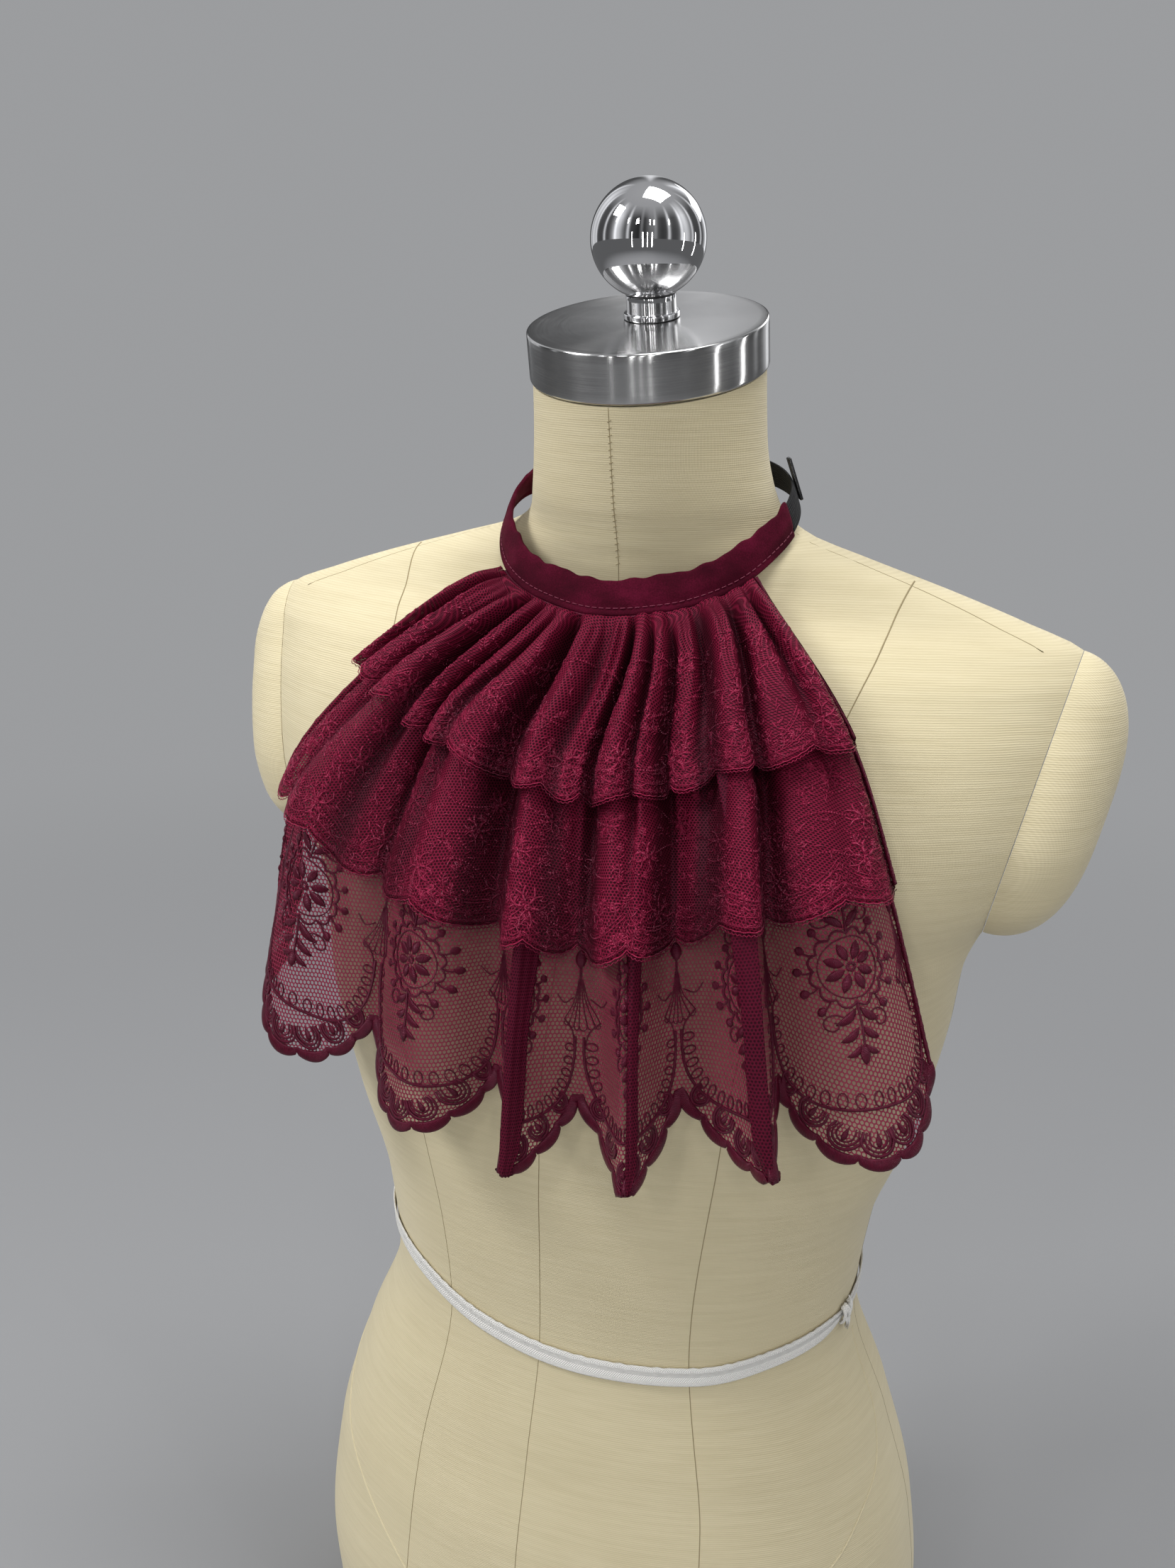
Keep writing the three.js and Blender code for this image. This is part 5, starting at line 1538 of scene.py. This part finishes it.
border = laid("tier_3_net", edge_xy[:, 0], edge_xy[:, 1], edge_wide, edge_wide * 0.34)
finished(cord_piece("net_satin_border", [border], 10), SATIN_THREAD, "net")
finished(cord_piece("net_satin_motifs", tier_3_threads(satin, 0.42), 8), SATIN_THREAD, "net")
finished(cord_piece("net_line_stitches", tier_3_threads(lines, 0.9), 4), LINE_THREAD, "net")

# %% [markdown]
# ### Lace of the upper tiers
# The first two tiers are a galloon lace: star flowers with forked arms, joined by vines of
# tiny knots, over a dense border of arcs that follows each scallop and ends in picots.
# The flowers are scattered by a seeded random generator, so every run gives the same lace.

# %% Motifs of the galloon lace
def star_flower(size):
    """Six forked arms and a knot."""
    strokes = []
    for arm in range(6):
        angle = arm * 60 + 30
        strokes.append(petal(angle, 0.12 * size, 0.72 * size, 0.5, n=4))
        for side in (-1, 1):
            fork = line((0.55 * size, 0), (0.8 * size, side * 0.12 * size), (size, side * 0.33 * size), n=4)
            strokes.append((turned_by(fork, angle), swelling(4, 0.36, 0.2)))
        bar = line((0.42 * size, -0.17 * size), (0.36 * size, 0), (0.42 * size, 0.17 * size), n=4)
        strokes.append((turned_by(bar, angle), np.full(4, 0.22)))
    strokes.append((loop(0.12 * size, 0.12 * size, 6), np.full(7, 0.35)))
    return strokes


KNOT_WIDTHS = np.array([0.12, 0.42, 0.42, 0.12])


def knots(xy, step):
    """A vine of tiny knots along a line."""
    run = laid_length(xy, 0)
    made = []
    for far in np.arange(0.5, run[-1], step):
        a, b = at_run(xy, run, np.array([far - 0.45])), at_run(xy, run, np.array([far + 0.45]))
        made.append((mix(a, b, np.array([[0], [0.3], [0.7], [1]])), KNOT_WIDTHS))
    return made


def sprig_leaves(size, lean):
    """A short stem with three pairs of leaves."""
    stem = line((0, 0), (lean * size * 0.2, -size * 0.55), (lean * size * 0.1, -size), n=5)
    strokes = [(stem, np.full(5, 0.24))]
    for i, share in enumerate((0.3, 0.55, 0.8)):
        for side in (-1, 1):
            strokes.append(petal(-90 + side * 55, 0.2, size * (0.42 - 0.07 * i), 0.42, n=4,
                                 move=(lean * size * 0.18, -size * share)))
    return strokes


BOLD = 1.55          # the thread is soft, and spreads wider than it stands high


class GalloonLace:
    """Collects the strokes of one tier and lays them by their run along the hanging row."""

    def __init__(self, name, seed):
        self.name, self.tier = name, TIERS[name]
        self.chart, self.random = charts[name], np.random.default_rng(seed)
        self.threads = []

    def width_at(self, drop):
        return np.interp(drop, self.chart["drops"], self.chart["widths"])

    def ends_at(self, drop):
        return [np.interp(drop, self.chart["drops"], end) for end in self.chart["ends"]]

    def add(self, xy, wide, run=0.0, drop=0.0, high=0.8):
        """A stroke round a place; x is along the row and y down the cloth."""
        xy = np.asarray(xy, float)
        drops = drop + xy[:, 1]
        runs = run * self.width_at(drops) / self.width_at(drop) + xy[:, 0]
        low, top = self.ends_at(drops)
        if (runs < low + 1).any() or (runs > top - 1).any() or drops.min() < 3:
            return
        flat = flat_at(self.name, runs, drops)
        if (drops > hem_drop(self.tier, flat) - 0.2).any():
            return
        wide = np.asarray(wide)
        self.threads.append(laid(self.name, flat, drops, wide * BOLD, wide * high))

    def motif(self, strokes, run, drop, angle=0.0, scale=1.0):
        for xy, wide in strokes:
            self.add(turned_by(xy, angle, scale), wide, run, drop)

    def hem_line(self, offset, wide, step, wave, wave_step, deepen):
        """A thread along the whole hem, offset inwards; deepen makes its scallops hang lower."""
        low, top = self.ends_at(self.tier["drop"])
        runs = np.arange(low + 0.8, top - 0.8, step)
        drops = np.full(len(runs), self.tier["drop"] - 2.0)
        for _ in range(3):
            flat = flat_at(self.name, runs, drops)
            curve = np.abs(np.sin(math.pi * self.tier["scallops"] * flat / FLAT_LENGTH)) ** HEM_POWER
            drops = hem_drop(self.tier, flat) - offset - deepen * (1 - curve)
        drops = drops + wave * np.abs(np.sin(math.pi * runs / wave_step))
        self.threads.append(laid(self.name, flat, drops, wide, wide * 0.8))


# Picots and a corded edge on the hem, four arcs above it, and two rows of small loops.
HEM_LINES = (   # offset from the hem, half width, step, wave, wave step, deepen
    (-0.9, 0.24, 0.5, 0.9, 1.9, 0), (0.0, 0.36, 0.6, 0.35, 4.1, 0),
    (1.7, 0.26, 1.1, 0, 2.6, 0), (5.2, 0.28, 1.1, 0, 2.6, 2.0),
    (9.6, 0.26, 1.1, 0, 2.6, 5.5), (11.0, 0.22, 1.1, 0, 2.6, 6.5),
    (3.0, 0.22, 0.6, 1.2, 1.6, 0), (7.0, 0.24, 0.6, 1.5, 2.6, 3.6),
)
VINE_REACH, SPRIGS_PER_MM, STITCHES_PER_MM = 0.3, 0.42, 3.6


def galloon(name, seed, flower_rows, dense_from):
    """The lace of one tier; loose stitches start dense_from mm down and thicken to the hem."""
    lace = GalloonLace(name, seed)
    drop, random = lace.tier["drop"], lace.random
    low, top = lace.ends_at(drop)

    for row in HEM_LINES:
        lace.hem_line(*row)

    # Star flowers in rows, each with a ring of knots under it.
    flowers = []
    for row_drop, count, size, shift in flower_rows:
        row_low, row_top = lace.ends_at(row_drop)
        step = (row_top - row_low) / count
        for i in range(count):
            run = row_low + step * (i + 0.5 + shift) + random.uniform(-2, 2)
            at = row_drop + random.uniform(-2.5, 2.5)
            lace.motif(star_flower(size), run, at, random.uniform(0, 60), random.uniform(0.9, 1.1))
            flowers.append((run / lace.width_at(row_drop), at))
            ring = loop(size * 1.5, size * 1.35, 24, 20, 160)
            for xy, wide in knots(ring, 1.5):
                lace.add(xy, wide, run, at)

    # Vines of knots that swing from flower to flower.
    for (share_a, drop_a), (share_b, drop_b) in zip(flowers, flowers[1:]):
        if abs(share_b - share_a) > VINE_REACH:
            continue
        a = np.array([share_a * lace.width_at(drop_a), drop_a])
        b = np.array([share_b * lace.width_at(drop_b), drop_b])
        sway = random.uniform(5, 9) * random.choice((-1, 1))
        for xy, wide in knots(line(a, (a + b) / 2 + (0, sway), b, n=16), 1.4):
            lace.add(xy - (0, xy[0, 1]), wide, 0.0, xy[0, 1])

    # Small leafy sprigs and loose stitches that thicken towards the hem.
    for _ in range(int((top - low) * SPRIGS_PER_MM)):
        at = drop - 4 - (drop - 4 - dense_from) * random.random() ** 1.6
        row_low, row_top = lace.ends_at(at)
        run = random.uniform(row_low + 3, row_top - 3)
        lace.motif(sprig_leaves(random.uniform(4, 7), random.choice((-1, 1))), run, at,
                   random.uniform(-70, 70))
    for _ in range(int((top - low) * STITCHES_PER_MM)):
        at = drop - 1.5 - (drop - dense_from) * random.random() ** 2.0
        row_low, row_top = lace.ends_at(at)
        run, angle = random.uniform(row_low + 2, row_top - 2), random.uniform(0, 180)
        bow = line((-1.3, 0), (0, random.uniform(-0.8, 0.8)), (1.3, 0), n=4)
        lace.add(turned_by(bow, angle, random.uniform(0.8, 1.5)), np.full(4, 0.27), run, at)
    return lace.threads


# Rows of flowers: drop, count, size, and the share of a step that the row is shifted by.
FLOWERS_1 = ((66, 9, 7.5, 0.0), (47, 8, 6.0, 0.15), (28, 6, 5.5, -0.1))
FLOWERS_2 = ((132, 11, 8.0, 0.0), (110, 10, 7.0, 0.1), (92, 9, 6.0, -0.1))
lace_1 = galloon("tier_1_lace", 11, FLOWERS_1, 24)
lace_2 = galloon("tier_2_lace", 23, FLOWERS_2, 84)
threads_1 = finished(cord_piece("lace_embroidery_1", lace_1, 3), LACE_THREAD, "lace")
threads_2 = finished(cord_piece("lace_embroidery_2", lace_2, 3), LACE_THREAD, "lace")
# The threads take the painted shade of the hollows beneath them.
take_hollow_shade(threads_1, tier_1)
take_hollow_shade(threads_2, tier_2)

# %% [markdown]
# ### Corded side edges
# The two ends of each tier are rolled and oversewn, which makes a firm little cord from the
# band to the hem.

# %% Side edges
EDGE_CORD, EDGE_IN = 0.95, 0.7


def side_edges(name):
    made = []
    for flat in (EDGE_IN, FLAT_LENGTH - EDGE_IN):
        hem = float(hem_drop(TIERS[name], np.array(flat)))
        drops = np.arange(1.2, hem, 1.0)
        thick = EDGE_CORD * (1 + 0.10 * np.sin(drops * 2.1) + 0.06 * np.sin(drops * 0.77))
        made.append(laid(name, np.full(len(drops), flat), drops, thick, thick * 0.85))
    return made


edges = {name: finished(cord_piece(f"{name}_edges", side_edges(name), 8), SATIN_THREAD,
                        "net" if name == "tier_3_net" else "lace") for name in TIERS}

# %% [markdown]

# %% [markdown]
# ## Floor and light
# A plain pale floor and soft studio light. A lamp from the upper left models the folds, a
# broader one overhead softens them, and a weak one behind rims the shoulders. Narrow ceiling
# lamps and upright tubes give the turned steel its streaks and the ball its points of light.

# %% Floor
FLOOR_RADIUS, FADE_FROM, FADE_TO = 14, 0.6, 1.9
HORIZON, HAZE_SEEN_IN_METAL = (0.33, 0.335, 0.345), 0.4
deselect_all()
bpy.ops.mesh.primitive_circle_add(vertices=96, radius=FLOOR_RADIUS, fill_type="NGON", location=(0, 0, 0))
floor = bpy.context.object
floor.name = "floor"
FLOOR, floor_tree, floor_shader = new_material("pale_floor", (0.25, 0.253, 0.26), 0.8)
# Far out the floor fades into the horizon's own grey, so no edge shows behind the part. The
# polished metal sees it dimmer, as it would see the rest of a real room.
where = node(floor_tree, "TexCoord").outputs["Object"]
far_off = node(floor_tree, "VectorMath", [where], operation="LENGTH").outputs["Value"]
fade = node(floor_tree, "MapRange", [far_off, FADE_FROM, FADE_TO, 0.0, 1.0],
            interpolation_type="SMOOTHSTEP")
straight = node(floor_tree, "LightPath").outputs["Is Camera Ray"]
glow = calc(floor_tree, "MULTIPLY_ADD", straight, 1 - HAZE_SEEN_IN_METAL, HAZE_SEEN_IN_METAL)
haze = node(floor_tree, "Emission", [(*HORIZON, 1), glow])
blend = node(floor_tree, "MixShader", [fade.outputs[0], floor_shader.outputs[0], haze.outputs[0]])
floor_tree.links.new(blend.outputs[0], floor_tree.nodes["Material Output"].inputs["Surface"])
floor.data.materials.append(FLOOR)

# %% Lamps
LAMPS = (   # name, place, size across and down, watts
    ("key", (-1.6, -1.0, 2.3), (0.7, 0.7), 36),
    ("top", (0.3, 0.0, 2.6), (1.0, 1.0), 30),
    ("rim", (0.6, 2.2, 1.8), (1.4, 0.8), 8),
)
STRIPS = ((-1.9, -1.5), (-1.0, -2.2), (-0.25, -2.4), (-0.1, -2.35), (0.9, -2.3), (1.25, -2.2),
          (2.2, -1.2))
STRIP_LAMP = {"height": 2.0, "size": (0.05, 0.45), "watts": 3.0}
# Upright tubes round the form; each draws one streak down the side of the turned steel.
TUBES = (   # degrees round from +X, width, watts
    (-103, 0.03, 1.0), (-82, 0.06, 1.9), (-73, 0.03, 1.0),
    (-64, 0.05, 1.6), (2, 0.04, 1.3), (33, 0.04, 1.3),
)
TUBE_AWAY, TUBE_HEIGHT, TUBE_LONG = 1.7, 0.6, 0.8
AIM = Vector((0, 0, 0.5))


def lamp(name, place, size, watts, level=False):
    """An area lamp aimed at the bust; a level one stands upright, so its tube is vertical."""
    bpy.ops.object.light_add(type="AREA", location=place)
    made = bpy.context.object
    made.name = name
    aim = Vector((0, 0, place[2])) if level else AIM
    made.rotation_euler = (aim - Vector(place)).to_track_quat("-Z", "Y").to_euler()
    made.visible_camera = False
    made.data.shape, made.data.size, made.data.size_y = "RECTANGLE", size[0], size[1]
    made.data.energy = watts


for row in LAMPS:
    lamp(*row)
for i, (x, y) in enumerate(STRIPS):
    lamp(f"ceiling_{i + 1}", (x, y, STRIP_LAMP["height"]), STRIP_LAMP["size"], STRIP_LAMP["watts"])
for i, (azimuth, wide, watts) in enumerate(TUBES):
    turn = math.radians(azimuth)
    place = (TUBE_AWAY * math.cos(turn), TUBE_AWAY * math.sin(turn), TUBE_HEIGHT)
    lamp(f"tube_{i + 1}", place, (wide, TUBE_LONG), watts, level=True)

# %% Room
ZENITH, ROOM_ABOVE = (0.55, 0.555, 0.57), 0.8
WINDOW_LIGHT, ROOM_LIGHT = 2.1, 0.22
CAMERA_AZIMUTH = -71
world = bpy.data.worlds.new("studio")
bpy.context.scene.world = world
world.use_nodes = True
sky = world.node_tree
facing = node(sky, "SeparateXYZ", [node(sky, "TexCoord").outputs["Generated"]]).outputs
ramp = node(sky, "ValToRGB", [facing[2]])
stops = ramp.color_ramp.elements
stops[0].position, stops[0].color = 0.22, (*HORIZON, 1)
stops[1].position, stops[1].color = 1.0, (*ZENITH, 1)
sky.links.new(ramp.outputs[0], sky.nodes["Background"].inputs["Color"])


def windows(count, shift, power):
    """Soft bright windows round the room, each narrower as the power rises."""
    wave = calc(sky, "SINE", calc(sky, "MULTIPLY_ADD", around, count, shift))
    return calc(sky, "POWER", calc(sky, "MULTIPLY_ADD", wave, 0.5, 0.5), power)


# Seen straight on the studio is an even grey. Its light comes from bright windows round a
# dimmer room, darkest where the camera stands, and those only show in the polished metal.
around = calc(sky, "ARCTAN2", facing[1], facing[0])
bright = calc(sky, "ADD", windows(5, 0.9, 4), calc(sky, "MULTIPLY", windows(13, 2.0, 8), 0.9))
bright = calc(sky, "MULTIPLY_ADD", bright, WINDOW_LIGHT, ROOM_LIGHT)
camera_side = calc(sky, "COSINE", calc(sky, "SUBTRACT", around, math.radians(CAMERA_AZIMUTH)))
dark = node(sky, "MapRange", [camera_side, 0.80, 0.97, 1.0, 0.25]).outputs[0]
low_part = node(sky, "MapRange", [facing[2], 0.55, 0.85, 1.0, 0.0]).outputs[0]
uneven = calc(sky, "SUBTRACT", calc(sky, "MULTIPLY", bright, dark), ROOM_ABOVE)
room = calc(sky, "MULTIPLY_ADD", uneven, low_part, ROOM_ABOVE)
straight = node(sky, "LightPath").outputs["Is Camera Ray"]
strength = calc(sky, "MULTIPLY_ADD", calc(sky, "SUBTRACT", 1.0, room), straight, room)
sky.links.new(strength, sky.nodes["Background"].inputs["Strength"])
bpy.context.scene.view_settings.view_transform = "Standard"
